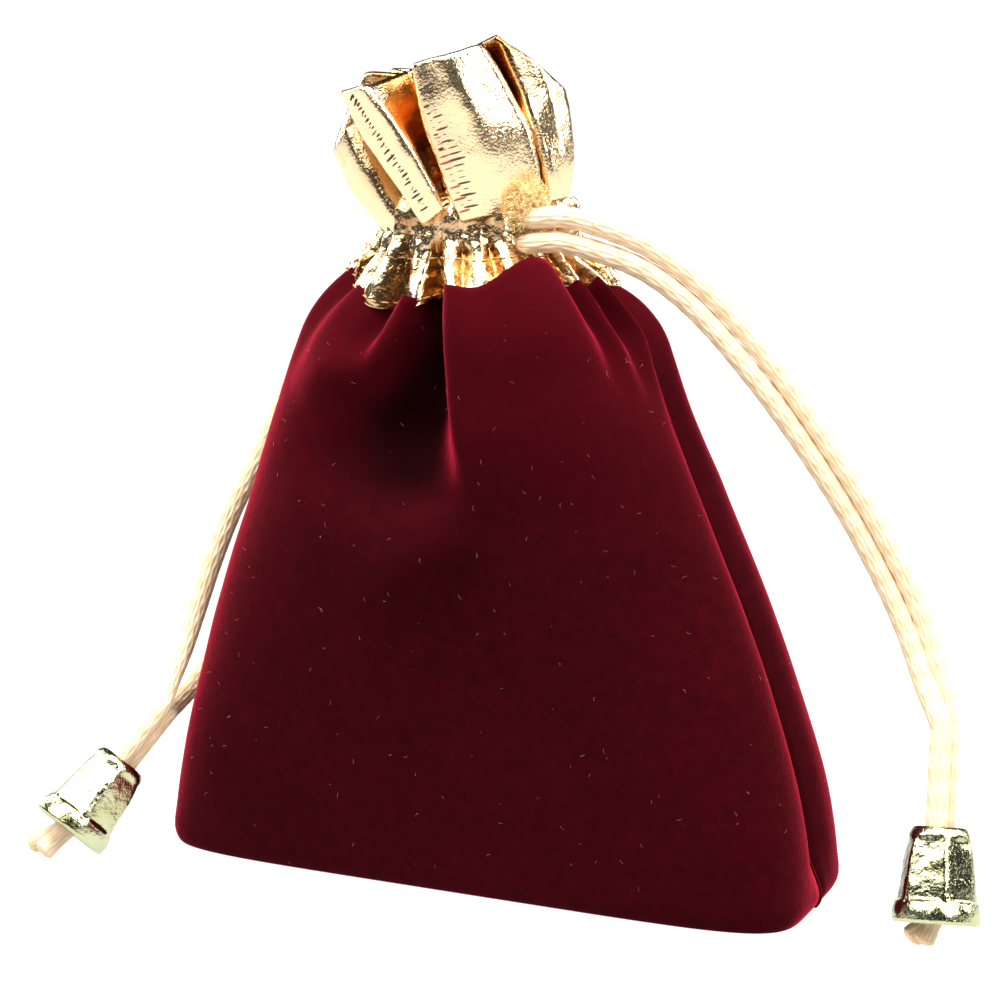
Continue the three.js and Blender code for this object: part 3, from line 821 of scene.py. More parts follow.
class POUCH_OT_velvet(bpy.types.Operator):
    """Two velvet panels that meet in drawn-in side seams and fall in folds from the gathered neck"""

    bl_idname = "pouch.velvet"
    bl_label = "Velvet body"

    def execute(self, context):
        settings = context.scene.pouch_velvet
        panels = (
            ("velvet_front_cloth", -math.pi, FRONT_FOLDS, "velvet_front_panel"),
            ("velvet_back_cloth", 0.0, BACK_FOLDS, "velvet_back_panel"),
        )
        for name, start, folds, node in panels:
            grid, painted_fold_shade = velvet_grid(start, folds, settings)
            thickness = np.full(grid.shape[:2], settings.thickness / MM)
            cloth = thick_cloth(name, grid, thickness, False)
            # painted shade in the folds, for the velvet's colour
            store_painted_shade(cloth, painted_fold_shade)
            finish_piece(cloth, material("velvet"), "pouch", (node,))
        # both panels end in the same side edges, so the last one's serve for the thread
        threads = []
        for column in (0, -1):
            line = grid[BASE_ROWS:, column] * (1, 0, 1)
            threads.append(tube_mesh("thread", line, SEAM_THREAD_RADIUS, 10))
        seam = joined("side_seam_threads", *threads)
        finish_piece(seam, material("velvet"), "pouch", ("body_seam_thread",))
        return {"FINISHED"}


# ---- gold collar ----

# The collar's folds, in order round it. Each has its place at the rim, half way down and at the lower edge
# of the pleats, in millimetres.
FRONT_PLEATS = (
    ((-22.3, -4.6, 95.9), (-18.6, -4.6, 90.6), (-13.6, -5.4, 85.0)),
    ((-19.4, -6.0, 99.6), (-15.2, -7.4, 93.2), (-10.6, -8.0, 86.9)),
    ((-13.0, -3.2, 102.0), (-11.0, -3.4, 95.2), (-8.6, -6.4, 88.6)),
    ((-19.8, -7.6, 104.0), (-12.7, -9.9, 95.8), (-6.5, -10.0, 87.6)),
    ((-13.4, -13.0, 105.2), (-7.3, -12.2, 97.8), (-3.4, -10.6, 89.8)),
    ((-11.0, -4.4, 106.8), (-7.6, -5.8, 98.5), (-3.2, -9.2, 89.9)),
    ((-9.0, -3.6, 107.6), (-6.4, -5.2, 98.6), (-2.5, -8.9, 89.4)),
    ((-7.4, -11.6, 108.0), (-4.6, -11.6, 99.0), (-0.8, -10.2, 88.3)),
    ((-2.3, -12.6, 109.3), (2.2, -11.8, 99.3), (3.0, -9.7, 89.2)),
    ((1.8, -9.0, 110.8), (7.2, -6.6, 99.1), (7.8, -6.0, 90.3)),
    ((-1.6, -2.6, 110.4), (3.4, -1.8, 98.8), (6.9, -3.2, 90.6)),
    ((2.0, -5.6, 111.6), (7.4, -4.6, 98.9), (8.6, -4.4, 90.9)),
    ((6.6, -3.0, 108.2), (9.0, -1.8, 98.5), (9.1, -2.0, 91.0)),
    ((8.9, 2.2, 104.2), (9.6, 1.6, 97.0), (9.3, 1.0, 91.0)),
)
# The rest of the folds, which follow plain ovals: angle, then the share of the oval at the three heights.
BACK_PLEATS = (
    (24, 0.26, 0.32, 0.76), (33, 1.0, 1.0, 1.0), (60, 1.03, 1.04, 1.0), (68, 0.22, 0.3, 0.74),
    (76, 0.95, 0.98, 1.0), (105, 1.02, 1.03, 1.0), (114, 0.2, 0.28, 0.74), (122, 0.96, 1.0, 1.0),
    (149, 1.02, 1.02, 1.0), (160, 0.24, 0.32, 0.76), (172, 0.94, 0.96, 1.0),
)
# Middle along X, half width, half depth and height of those ovals, then the rise of the height along X.
PLEAT_OVALS = (
    (-6.8, 15.0, 13.0, 105.6, -0.06), (-4.6, 13.6, 11.6, 97.2, 0.04), (-3.0, 12.4, 9.8, 89.6, 0.1),
)
STEPS_PER_FOLD = 11
PLEAT_ROWS = 46
# The thickness of the gathered cloth below the gold strip above the channel.
GATHERS_THICKNESS = 0.45
# The lower edge turns in under the pleats: how far in it is drawn and how far it rises, ring by ring.
TUCKS = ((0.86, 1.3), (0.93, 0.25))


def pleat_corners():
    corners = [list(c) for c in FRONT_PLEATS]
    for degrees, *shares in BACK_PLEATS:
        turn = math.radians(degrees)
        corner = []
        for (middle, a, b, height, rise), share in zip(PLEAT_OVALS, shares):
            x = a * share * math.cos(turn)
            corner.append((middle + x, b * share * math.sin(turn), height + rise * x))
        corners.append(corner)
    return np.array(corners, float)


def pleated_crown(settings):
    """The outer face of the pleats above the draw channel, from their lower edge to the rim."""
    corners = pleat_corners()
    count = len(corners)
    share = np.arange(STEPS_PER_FOLD) / STEPS_PER_FOLD
    rings = []
    for level in (2, 1, 0):
        here, after = corners[:, level], np.roll(corners[:, level], -1, axis=0)
        ring = here[:, None] + (after - here)[:, None] * share[None, :, None]
        ring = ring.reshape(count * STEPS_PER_FOLD, 3)
        for _ in range(4):
            ring = (np.roll(ring, 1, axis=0) + 2 * ring + np.roll(ring, -1, axis=0)) / 4
        rings.append(ring)
    low, middle, high = rings
    t = np.linspace(0, 1, PLEAT_ROWS)[:, None, None]
    grid = (low * (1 - t) * (1 - 2 * t) + middle * 4 * t * (1 - t) + high * t * (2 * t - 1))
    normals = grid_normals(grid, True)
    belly = 0.5 * np.sin(math.pi * t[..., 0])
    crumple = settings.crumple / MM * (wander(grid, 0.75, 5.0) + 0.7 * wander(grid, 1.7, 8.0))
    soft = 0.35 * wander(grid, 0.22, 2.0) * np.sin(math.pi * t[..., 0])
    grid = grid + normals * (belly + crumple + soft)[..., None]
    centre = np.array(NECK_CENTRE)
    tucks = []
    for share_in, rise in TUCKS:
        tuck = grid[0].copy()
        tuck[:, :2] = centre + (tuck[:, :2] - centre) * share_in
        tuck[:, 2] += rise
        tucks.append(tuck)
    return np.concatenate([np.array(tucks), grid])


# Height, half width and half depth of the neck below the pleats, with the share of the gathers there.
NECK_STATIONS = np.array(
    [
        (80.2, 17.5, 13.0, 1.0), (81.6, 16.7, 12.4, 0.95), (83.0, 14.9, 11.4, 0.7),
        (84.6, 13.3, 10.3, 0.35), (86.0, 13.0, 10.1, 0.2), (87.5, 12.9, 9.9, 0.15), (89.2, 12.7, 9.8, 0.15),
        (90.6, 11.9, 9.1, 0.15), (91.6, 11.2, 8.6, 0.1),
    ]
)


# The neck's grid.
NECK_COLUMNS = 432
NECK_ROWS = 64
# The height of the band of painted shadow on the neck where it is pinched in under the pleats, and how far up
# and down that band reaches.
SHADOW_BAND = (88.2, 1.7)


def neck_levels():
    return np.linspace(NECK_STATIONS[0, 0], NECK_STATIONS[-1, 0], NECK_ROWS)


def neck_pleats(angle, z, count):
    """Small uneven pleats, sharp where they are drawn in."""
    bend = 0.35 * np.sin(3 * angle + 1.1) + 0.22 * np.sin(5 * angle + 0.4)
    fine = 1 - 2 * np.abs(np.sin((count * angle) / 2 + 2.2 * bend + 0.10 * (z - 86)))
    broad = 1 - 2 * np.abs(np.sin((count * 0.5 * angle) / 2 - 1.6 * bend + 0.8))
    return -0.6 * fine - 0.4 * broad


def neck_grid(settings):
    """The outer face of the gathered gold cloth from the velvet up to the pleats."""
    angle = (TAU * np.arange(NECK_COLUMNS) / NECK_COLUMNS - math.pi)[None, :]
    z = neck_levels()[:, None]
    a, b, share = (through(NECK_STATIONS[:, 0], NECK_STATIONS[:, k], z) for k in (1, 2, 3))
    gather = round_table(GATHERS, np.degrees(angle)) * share
    small = neck_pleats(angle, z, settings.neck_pleats)
    depth = 0.62 + 0.95 * smoothstep(80.9, 83.2, z) * (1 - smoothstep(84.6, 86.4, z))
    depth = depth + 0.3 * smoothstep(88.8, 90.4, z)
    hem = 0.12 * np.exp(-(((z - 81.0) / 0.55) ** 2))
    out = gather + small * depth + hem
    x = lean_at(z) + (a + out) * np.cos(angle)
    y = (b + out) * np.sin(angle)
    rise = round_table(JOIN_RISE, np.degrees(angle)) * (1 - smoothstep(80.2, 86.0, z))
    grid = np.stack(np.broadcast_arrays(x, y, z + rise), axis=-1)
    crumple = 2.6 * settings.crumple / MM * (wander(grid, 0.7, 1.0) + 0.7 * wander(grid, 1.7, 6.0))
    return grid + grid_normals(grid, True) * crumple[..., None]


def neck_painted_shade(neck):
    """Painted shade on the neck: how deep each place lies between its gathers, and a band of painted shadow
    under the pleats that hang over it.
    """
    under_pleat_shadow = np.exp(-(((neck[..., 2] - SHADOW_BAND[0]) / SHADOW_BAND[1]) ** 2)) * (0.6 + 0.4 * wander(neck, 0.8, 3.0))
    return np.maximum(hollow_depth(neck, 13, 0.25, 1.5), under_pleat_shadow)


class POUCH_OT_collar(bpy.types.Operator):
    """Gold foil cloth: box pleats above the draw channel and small gathers below them, down to the velvet"""

    bl_idname = "pouch.collar"
    bl_label = "Gold collar"

    def execute(self, context):
        settings = context.scene.pouch_collar
        thickness = settings.thickness / MM
        crown = pleated_crown(settings)
        pleats = thick_cloth("gold_pleats", crown, np.full(crown.shape[:2], thickness), True, rim=0.35)
        # painted shade between the pleats, deeper where the cloth lies further in than the folds beside it
        store_painted_shade(pleats, hollow_depth(crown, 13, 0.9, 4.0), rim=True)
        neck = neck_grid(settings)
        gathers = thick_cloth("gold_neck_gathers", neck, np.full(neck.shape[:2], GATHERS_THICKNESS), True)
        store_painted_shade(gathers, neck_painted_shade(neck))
        nodes = ("gold_collar_front", "gold_collar_back")
        for piece in (pleats, gathers):
            finish_piece(piece, material("foil"), "pouch", nodes)
        return {"FINISHED"}


# ---- drawstrings ----

# Each bead: the middle of its mouth, its axis from top to mouth, the direction from one strand to the other
# inside it, the straight run of cord above it, and the tips of the two tails. Millimetres.
BEADS = {
    "right": {
        "mouth": (63.2, -8.3, 3.4),
        "axis": (0.076, -0.34, -0.937),
        "across": (0.1, 0.94, -0.33),
        "straight": 12.5,
        "tips": ((61.9, -9.3, 1.5), (60.4, -9.0, 1.6)),
    },
    "left": {
        "mouth": (-54.3, -23.7, 4.0),
        "axis": (-0.392, -0.581, -0.709),
        "across": (0.18, -0.81, 0.56),
        "straight": 8.5,
        "tips": ((-59.8, -24.0, 1.6), (-56.9, -25.9, 1.6)),
    },
}
# Length of a bead, distance of each strand from its axis, depth at which the strands end inside it, and
# length of the first stretch of their straight run. Millimetres.
BEAD_LENGTH = 12.0
STRAND_SPREAD = 1.42
STRAND_END_DEPTH = 2.3
STRAIGHT_LEAD = 1.2

# Each free strand: the loop it belongs to, its side of the bead's axis, its real length, and its route from
# inside the channel to the straight run above the bead.
STRANDS = {
    "drawstring_right_upper_strand": (
        "right",
        1,
        0.1078,
        (
            (5.6, -6.4, 89.05), (6.9, -7.8, 89.1), (8.8, -8.6, 89.3), (12.1, -7.5, 89.4),
            (16.3, -5.9, 88.3), (22.4, -3.6, 85.6), (29.3, -1.8, 80.5), (36.8, 0.0, 72.1),
            (44.5, 1.7, 61.3), (51.0, 3.0, 51.1), (56.6, 3.7, 40.2), (59.7, 2.7, 31.8),
        ),
    ),
    "drawstring_right_lower_strand": (
        "right",
        -1,
        0.1035,
        (
            (5.6, -6.4, 85.95), (6.9, -7.8, 85.9), (8.6, -8.7, 86.1), (11.5, -7.8, 86.3),
            (15.7, -6.2, 85.2), (21.5, -4.2, 82.9), (27.5, -2.5, 78.4), (35.0, -0.9, 70.1),
            (42.6, 1.0, 59.7), (49.0, 2.4, 49.5), (54.8, 2.8, 38.6), (58.4, 1.0, 31.2),
        ),
    ),
    "drawstring_left_front_strand": (
        "left",
        1,
        0.0989,
        (
            (-11.6, 6.4, 89.05), (-13.0, 7.6, 89.0), (-15.2, 8.2, 88.2), (-19.2, 8.0, 85.2),
            (-24.6, 8.0, 80.0), (-30.8, 8.3, 71.8), (-35.6, 7.3, 61.8), (-39.0, 5.0, 53.0),
            (-42.0, 2.4, 45.6), (-44.3, 0.0, 38.0), (-45.6, -2.4, 31.6), (-46.2, -5.4, 26.4),
            (-46.3, -9.2, 22.4),
        ),
    ),
    "drawstring_left_rear_strand": (
        "left",
        -1,
        0.1072,
        (
            (-11.6, 6.4, 85.95), (-13.0, 7.8, 85.8), (-15.4, 9.8, 84.4), (-19.2, 12.2, 80.8),
            (-24.0, 14.4, 74.6), (-30.4, 16.7, 63.4), (-35.9, 16.4, 51.6), (-40.4, 14.4, 40.0),
            (-43.9, 11.1, 30.4), (-46.7, 5.8, 23.8), (-47.8, -0.8, 19.4), (-48.0, -6.8, 17.4),
        ),
    ),
}
STRAND_SECTIONS = 420
CORD_SIDES = 48
# The cord inside the channel: half width and half depth of each ring, its height and its steps.
RING_SIZE = (10.3, 7.2)
RING_HEIGHTS = {"right": 85.95, "left": 89.05}
RING_STEPS = 240
# Depth of the braid, as a share of the cord's radius.
BRAID_DEPTH = 0.055


def bead_frame(side):
    """The middle of a bead's top, its axis, and the two directions across it."""
    facts = BEADS[side]
    down = unit(facts["axis"])
    sideways = np.array(facts["across"])
    sideways = unit(sideways - down * sideways.dot(down))
    top = np.array(facts["mouth"]) - BEAD_LENGTH * down
    return top, down, sideways, np.cross(down, sideways)


def braid_relief(settings):
    """The low relief of a cord's bundles, which cross each other."""
    turns = TAU * MM / settings.lay

    def relief(run, turn):
        left = np.cos(settings.strands * turn + turns * settings.strands * run * 0.5)
        right = np.cos(settings.strands * turn - turns * settings.strands * run * 0.5)
        return 1 - BRAID_DEPTH + BRAID_DEPTH * np.maximum(left, right)

    return relief


def strand_line(name):
    side, sign, _, route = STRANDS[name]
    top, down, sideways, _ = bead_frame(side)
    straight = BEADS[side]["straight"]
    run = [
        top + down * depth + sideways * sign * STRAND_SPREAD
        for depth in (-straight, STRAIGHT_LEAD - straight, -straight / 2, 0.0, STRAND_END_DEPTH)
    ]
    return spline_through([*route, *run], STRAND_SECTIONS)


class POUCH_OT_drawstrings(bpy.types.Operator):
    """Four free strands of braided satin cord, which run from the draw channel to the two beads"""

    bl_idname = "pouch.drawstrings"
    bl_label = "Drawstrings"

    def execute(self, context):
        settings = context.scene.pouch_cord
        radius = settings.diameter / MM / 2
        for name, (side, _, length, route) in STRANDS.items():
            line = strand_line(name)
            cord = tube_mesh(f"satin_{name}", line, radius, CORD_SIDES, relief=braid_relief(settings))
            finish_piece(cord, material("satin"), None, (name,))
            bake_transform(cord)
        turn = TAU * np.arange(RING_STEPS) / RING_STEPS
        for side, z in RING_HEIGHTS.items():
            x = NECK_CENTRE[0] + RING_SIZE[0] * np.cos(turn)
            ring = np.stack([x, RING_SIZE[1] * np.sin(turn), np.full(RING_STEPS, z)], axis=-1)
            run = tube_mesh(
                f"channel_cord_{side}", ring, radius, 24, closed=True, relief=braid_relief(settings)
            )
            finish_piece(run, material("satin"), "pouch", (f"drawstring_{side}_neck_run",))
        return {"FINISHED"}


# ---- beads and knots ----

# Depth below the bead's top and radius there.
BEAD_OUTSIDE = (
    (0.0, 3.2), (0.1, 3.33), (0.4, 3.56), (0.9, 3.82), (1.7, 4.06), (3.0, 4.38), (6.0, 4.86), (9.2, 5.22),
    (9.6, 5.26), (9.9, 5.36), (10.3, 5.46), (11.3, 5.5), (11.8, 5.42), (12.0, 5.22),
)
BEAD_INSIDE = (
    (12.0, 4.9), (11.7, 4.7), (9.0, 4.45), (6.0, 4.05), (3.0, 3.5), (1.4, 3.15), (0.3, 3.06), (0.0, 3.1)
)
BEAD_FLATS = 6
# Distance of the flats from the axis over the radius, and how sharply they meet the round.
FLAT_SHARE = 0.905
FLAT_SHARPNESS = 30


def bell_bead(name, side, columns=180):
    """A bell with six hammered flats, rounded ribs between them and a plain band round its mouth."""
    top, down, sideways, third = bead_frame(side)
    outside, inside = np.array(BEAD_OUTSIDE), np.array(BEAD_INSIDE)
    depth_out = np.concatenate(
        [np.linspace(0, 1.3, 10)[:-1], np.linspace(1.3, 9.2, 46)[:-1], np.linspace(9.2, BEAD_LENGTH, 20)]
    )
    radius_out = through(outside[:, 0], outside[:, 1], depth_out)
    depth_in = np.linspace(BEAD_LENGTH, 0, 34)
    radius_in = np.interp(depth_in, inside[::-1, 0], inside[::-1, 1])
    turn = (TAU * np.arange(columns) / columns)[None, :]
    sector = TAU / BEAD_FLATS
    local = (turn + sector / 2) % sector - sector / 2
    held = smoothstep(0.7, 2.0, depth_out) * (1 - smoothstep(8.9, 9.5, depth_out))
    flat = FLAT_SHARE / np.cos(local)
    blend = -np.log(np.exp(-FLAT_SHARPNESS * flat) + np.exp(-FLAT_SHARPNESS)) / FLAT_SHARPNESS
    share = 1 + held[:, None] * (blend - 1)
    # a shallow square notch at the foot of each rib
    rib = np.exp(-(((np.abs(local) - sector / 2) / 0.09) ** 2))
    notch = 0.16 * rib * np.exp(-(((depth_out[:, None] - 9.35) / 0.32) ** 2))
    radius = radius_out[:, None] * share - notch
    across = radius * np.cos(turn), radius * np.sin(turn)
    place = np.stack(np.broadcast_arrays(*across, depth_out[:, None]), -1)
    radius = radius + 0.07 * held[:, None] * wander(place, 0.7, 2.0) + 0.02 * wander(place, 1.6, 5.0)
    outer = (radius, depth_out)
    inner = (np.broadcast_to(radius_in[:, None], (len(depth_in), columns)), depth_in)
    grid = np.concatenate(
        [
            top
            + sideways * (r * np.cos(turn))[..., None]
            + third * (r * np.sin(turn))[..., None]
            + down * np.broadcast_to(d[:, None], r.shape)[..., None]
            for r, d in (outer, inner)
        ]
    )
    faces = quads_between(len(grid), columns, True, True)
    return mesh_object(name, grid.reshape(-1, 3), faces)


# Depths below the bead's top: the knot's middle, the point where the tails leave it, and the bead's mouth.
KNOT_DEPTH = 5.3
TAIL_DEPTHS = (5.6, 8.6)
MOUTH_DEPTH = 10.6
# Half thicknesses of the knot's cord, of its leads and of its tails, which are drawn tighter than free cord.
KNOT_RADIUS, LEAD_RADIUS, TAIL_RADIUS = 1.15, 1.36, 1.3
# The strand's last stretch, into the knot: depth, and distance from the bead's axis.
LEAD_ROUTE = ((STRAND_END_DEPTH - 0.6, STRAND_SPREAD), (3.3, STRAND_SPREAD - 0.15), (4.8, 0.9))
TAIL_STEPS = 90


def knot_pieces(side, settings):
    """A small overhand knot inside the bead and the two tails that come out of its mouth."""
    top, down, sideways, third = bead_frame(side)
    facts = BEADS[side]
    turn = np.linspace(0, TAU, 160, endpoint=False)
    loops = np.stack(
        [
            0.52 * (np.sin(turn) + 2 * np.sin(2 * turn)),
            0.52 * (np.cos(turn) - 2 * np.cos(2 * turn)),
            KNOT_DEPTH - 0.95 * np.sin(3 * turn),
        ],
        axis=-1,
    )
    basis = np.stack([sideways, third, down])
    relief = braid_relief(settings)
    parts = [tube_mesh("knot", top + loops @ basis, KNOT_RADIUS, 20, relief=relief)]
    tips = [np.array(tip) for tip in facts["tips"]]
    for sign, tip in zip((1, -1), tips):
        lead = [top + down * depth + sideways * sign * off for depth, off in LEAD_ROUTE]
        parts.append(tube_mesh("lead", spline_through(lead, 40), LEAD_RADIUS, 30, relief=relief))
        start = top + down * TAIL_DEPTHS[0] + sideways * sign * 0.9
        below = top + down * TAIL_DEPTHS[1] + sideways * sign * 1.0
        mouth = top + down * MOUTH_DEPTH + (tip - top - down * MOUTH_DEPTH) * 0.3
        line = spline_through([start, below, mouth, tip], TAIL_STEPS)
        frayed = 1 + 0.10 * smoothstep(0.75, 0.97, np.linspace(0, 1, TAIL_STEPS))
        parts.append(tube_mesh("tail", line, TAIL_RADIUS * frayed, 30, relief=relief))
    return parts, tips, top + down * MOUTH_DEPTH


class POUCH_OT_beads(bpy.types.Operator):
    """The plated bell beads, with the knots inside them and the seared tails that stick out"""

    bl_idname = "pouch.beads"
    bl_label = "Beads and knots"

    def execute(self, context):
        cord = context.scene.pouch_cord
        for side in BEADS:
            bead = bell_bead(f"bell_bead_{side}", side)
            finish_piece(bead, material("bead"), f"{side}_bead", (f"bead_{side}",))
            parts, tips, mouth = knot_pieces(side, cord)
            knot = joined(f"stopper_knot_{side}", *parts)
            finish_piece(knot, material("satin"), f"{side}_loop", (f"cord_knot_{side}",))
            caps = []
            for k, tip in enumerate(tips):
                way = unit(tip - mouth)
                line = tip + np.linspace(-0.35, 0.55, 9)[:, None] * way
                swell = 1.34 * np.sqrt(np.clip(1 - (np.linspace(-0.35, 1.0, 9) ** 2) * 0.97, 0.03, 1))

                def melted(run, turn, k=k):
                    return 1 + 0.08 * np.sin(3 * turn + k) + 0.05 * np.sin(7 * turn + 2 * run)

                caps.append(tube_mesh("cap", line, swell, 28, relief=melted))
            ends = joined(f"seared_ends_{side}", *caps)
            finish_piece(ends, material("seared"), f"{side}_loop")
        return {"FINISHED"}


# ---- stitches, yarn and lint ----


class Growth:
    """A Geometry Nodes tree with named inputs, on one object."""

    def __init__(self, obj, name, inputs):
        self.obj = obj
        self.tree = bpy.data.node_groups.new(name, "GeometryNodeTree")
        face = self.tree.interface
        face.new_socket("Geometry", in_out="INPUT", socket_type="NodeSocketGeometry")
        face.new_socket("Geometry", in_out="OUTPUT", socket_type="NodeSocketGeometry")
        sockets = {}
        for label, (kind, value) in inputs.items():
            socket = face.new_socket(label, in_out="INPUT", socket_type=kind)
            socket.default_value = value
            sockets[label] = socket.identifier
        self.modifier = obj.modifiers.new(name, "NODES")
        self.modifier.node_group = self.tree
        for label, (_, value) in inputs.items():
            self.modifier[sockets[label]] = value
        self.inputs = self.tree.nodes.new("NodeGroupInput")

    def value(self, label):
        return self.inputs.outputs[label]

    def node(self, kind, settings=None, links=None, output=0):
        made = self.tree.nodes.new(kind)
        for key, value in (settings or {}).items():
            setattr(made, key, value)
        for key, value in (links or {}).items():
            socket = made.inputs[key]
            if isinstance(value, bpy.types.NodeSocket):
                self.tree.links.new(value, socket)
            else:
                socket.default_value = value
        return made.outputs[output]

    def link(self, source, node, socket):
        self.tree.links.new(source, node.inputs[socket])

    def even_scale(self, label):
        """A vector whose three parts are one input."""
        return self.node("ShaderNodeCombineXYZ", links={axis: self.value(label) for axis in "XYZ"})

    def random(self, kind, socket_type, low, high):
        """Random values between two others, drawn with the tree's seed."""
        made = self.tree.nodes.new("FunctionNodeRandomValue")
        made.data_type = kind
        ends = [s for s in made.inputs if s.type == socket_type]
        self.tree.links.new(low, ends[0])
        self.tree.links.new(high, ends[1])
        self.link(self.value("Seed"), made, "Seed")
        return next(s for s in made.outputs if s.type == socket_type)

    def done(self, geometry, finish):
        """Ends the tree and turns what it makes into a plain mesh object."""
        real = self.node("GeometryNodeRealizeInstances", links={"Geometry": geometry})
        painted = self.node("GeometryNodeSetMaterial", links={"Geometry": real, "Material": finish})
        end = self.tree.nodes.new("NodeGroupOutput")
        self.tree.links.new(painted, end.inputs["Geometry"])
        bpy.context.view_layer.update()
        graph = bpy.context.evaluated_depsgraph_get()
        mesh = bpy.data.meshes.new_from_object(self.obj.evaluated_get(graph), depsgraph=graph)
        self.obj.modifiers.remove(self.modifier)
        if not len(mesh.polygons):
            raise RuntimeError(f"{self.obj.name} grew nothing")
        name, seedbed = self.obj.name, self.obj.data
        self.obj.data = mesh
        mesh.name = name
        bpy.data.meshes.remove(seedbed)
        mesh.polygons.foreach_set("use_smooth", np.ones(len(mesh.polygons), bool))
        if not mesh.materials:
            mesh.materials.append(finish)
        return self.obj


def points_object(name, points, facing, edges):
    """Loose points joined by edges, which carry the direction that they face."""
    mesh = bpy.data.meshes.new(name)
    mesh.from_pydata((np.asarray(points) * MM).tolist(), edges, [])
    stored = mesh.attributes.new("facing", "FLOAT_VECTOR", "POINT")
    stored.data.foreach_set("vector", np.asarray(facing, np.float32).ravel())
    obj = bpy.data.objects.new(name, mesh)
    bpy.context.scene.collection.objects.link(obj)
    return obj


def sewn_run(name, runs, finish, settings, across=False, jitter=0.15, spacing=None, length=None):
    """Stitches along runs of (points, facing), each a short thread that lies along the run or across it."""
    points, facing, edges = [], [], []
    for line, normals in runs:
        start = len(points)
        points.extend(line)
        facing.extend(normals)
        edges.extend((start + k, start + k + 1) for k in range(len(line) - 1))
    bed = points_object(name, points, facing, edges)
    growth = Growth(
        bed,
        f"{name}_stitches",
        {
            "Spacing": ("NodeSocketFloat", spacing or settings.spacing),
            "Stitch Length": ("NodeSocketFloat", length or settings.length),
            "Thickness": ("NodeSocketFloat", settings.thickness),
            "Irregularity": ("NodeSocketFloat", jitter),
            "Seed": ("NodeSocketInt", settings.seed),
        },
    )
    path = growth.node("GeometryNodeMeshToCurve", links={"Mesh": growth.value("Geometry")})
    places = growth.tree.nodes.new("GeometryNodeCurveToPoints")
    places.mode = "LENGTH"
    growth.link(path, places, "Curve")
    growth.link(growth.value("Spacing"), places, "Length")
    normal = growth.node("GeometryNodeInputNamedAttribute", {"data_type": "FLOAT_VECTOR"}, {"Name": "facing"})
    turned = growth.node(
        "FunctionNodeAxesToRotation",
        {"primary_axis": "Z", "secondary_axis": "Y" if across else "X"},
        {"Primary Axis": normal, "Secondary Axis": places.outputs["Tangent"]},
    )
    thread = growth.node("GeometryNodeMeshUVSphere", links={"Segments": 10, "Rings": 7, "Radius": 0.5})
    thick = growth.value("Thickness")
    long = growth.value("Stitch Length")
    width = growth.node("ShaderNodeCombineXYZ", links={"X": long, "Y": thick, "Z": thick})
    shaped = growth.node("GeometryNodeTransform", links={"Geometry": thread, "Scale": width})
    ends = [
        growth.node("ShaderNodeMath", {"operation": operation}, {0: 1.0, 1: growth.value("Irregularity")})
        for operation in ("SUBTRACT", "ADD")
    ]
    size = growth.random("FLOAT", "VALUE", *ends)
    sewn = growth.node(
        "GeometryNodeInstanceOnPoints",
        links={"Points": places.outputs["Points"], "Instance": shaped, "Rotation": turned, "Scale": size},
    )
    return growth.done(sewn, finish)


def neck_line(z, settings, off):
    """A line round the neck, just off the gold cloth, with the way that the cloth faces there."""
    grid = neck_grid(settings)
    normals = grid_normals(grid, True)
    level = np.abs(neck_levels() - z).argmin()
    line = grid[level] + normals[level] * off
    closed = np.append(np.arange(len(line)), 0)
    return line[closed], normals[level][closed]


def pleat_line(grid, column, first, last, off):
    """A line up the pleats at one column of their grid."""
    normals = grid_normals(grid, True)
    rows = np.arange(first, last)
    low = int(column)
    part = column - low
    place = grid[rows, low] * (1 - part) + grid[rows, (low + 1) % grid.shape[1]] * part
    facing = unit(normals[rows, low] * (1 - part) + normals[rows, (low + 1) % grid.shape[1]] * part)
    return place + facing * off, facing


# How far the sewn rows lie off the gold cloth below the pleats and on them, in millimetres.
ROW_OFF, OVERLOCK_OFF = 0.08, 0.04
# Each row round the neck: its name, its height and the CAD node that it stands for.
NECK_ROWS_SEWN = (
    ("channel_stitches_lower", 84.2, "channel_stitching_lower"),
    ("channel_stitches_upper", 90.9, "channel_stitching_upper"),
    ("join_stitches", 80.95, "join_stitching"),
)
# Each row up the pleats: name, thread, fold that it lies on, first and last row of the pleats' grid, then the
# length and spacing of its stitches in metres.
OVERLOCK = (
    ("left", "dark_thread", 3.45, 6, 46, 0.0012, 0.00092),
    ("left_locks", "dark_thread", 3.52, 6, 46, 0.0007, 0.00061),
    ("right_upper", "dark_thread", 7.36, 24, 47, 0.0012, 0.0008),
    ("right_lower", "dark_thread", 7.46, 6, 25, 0.0017, 0.00078),
    ("right_inner", "dark_thread", 7.2, 18, 46, 0.0006, 0.0009),
    ("red", "red_thread", 7.22, 5, 26, 0.0013, 0.0008),
)


class POUCH_OT_stitches(bpy.types.Operator):
    """Sewing thread: the draw channel's two rows, the join to the velvet and the overlocked pleat edges"""

    bl_idname = "pouch.stitches"
    bl_label = "Stitches"

    def execute(self, context):
        collar, settings = context.scene.pouch_collar, context.scene.pouch_stitches
        for name, z, node in NECK_ROWS_SEWN:
            run = neck_line(z, collar, ROW_OFF)
            sewn = sewn_run(name, [run], material("gold_thread"), settings)
            finish_piece(sewn, None, "pouch", (node,))
        crown = pleated_crown(collar)
        for name, thread, fold, first, last, length, spacing in OVERLOCK:
            run = pleat_line(crown, fold * STEPS_PER_FOLD, first, last, OVERLOCK_OFF)
            name = f"overlock_stitches_{name}"
            sewn = sewn_run(name, [run], material(thread), settings, True, 0.7, spacing, length)
            finish_piece(sewn, None, "pouch")
        return {"FINISHED"}


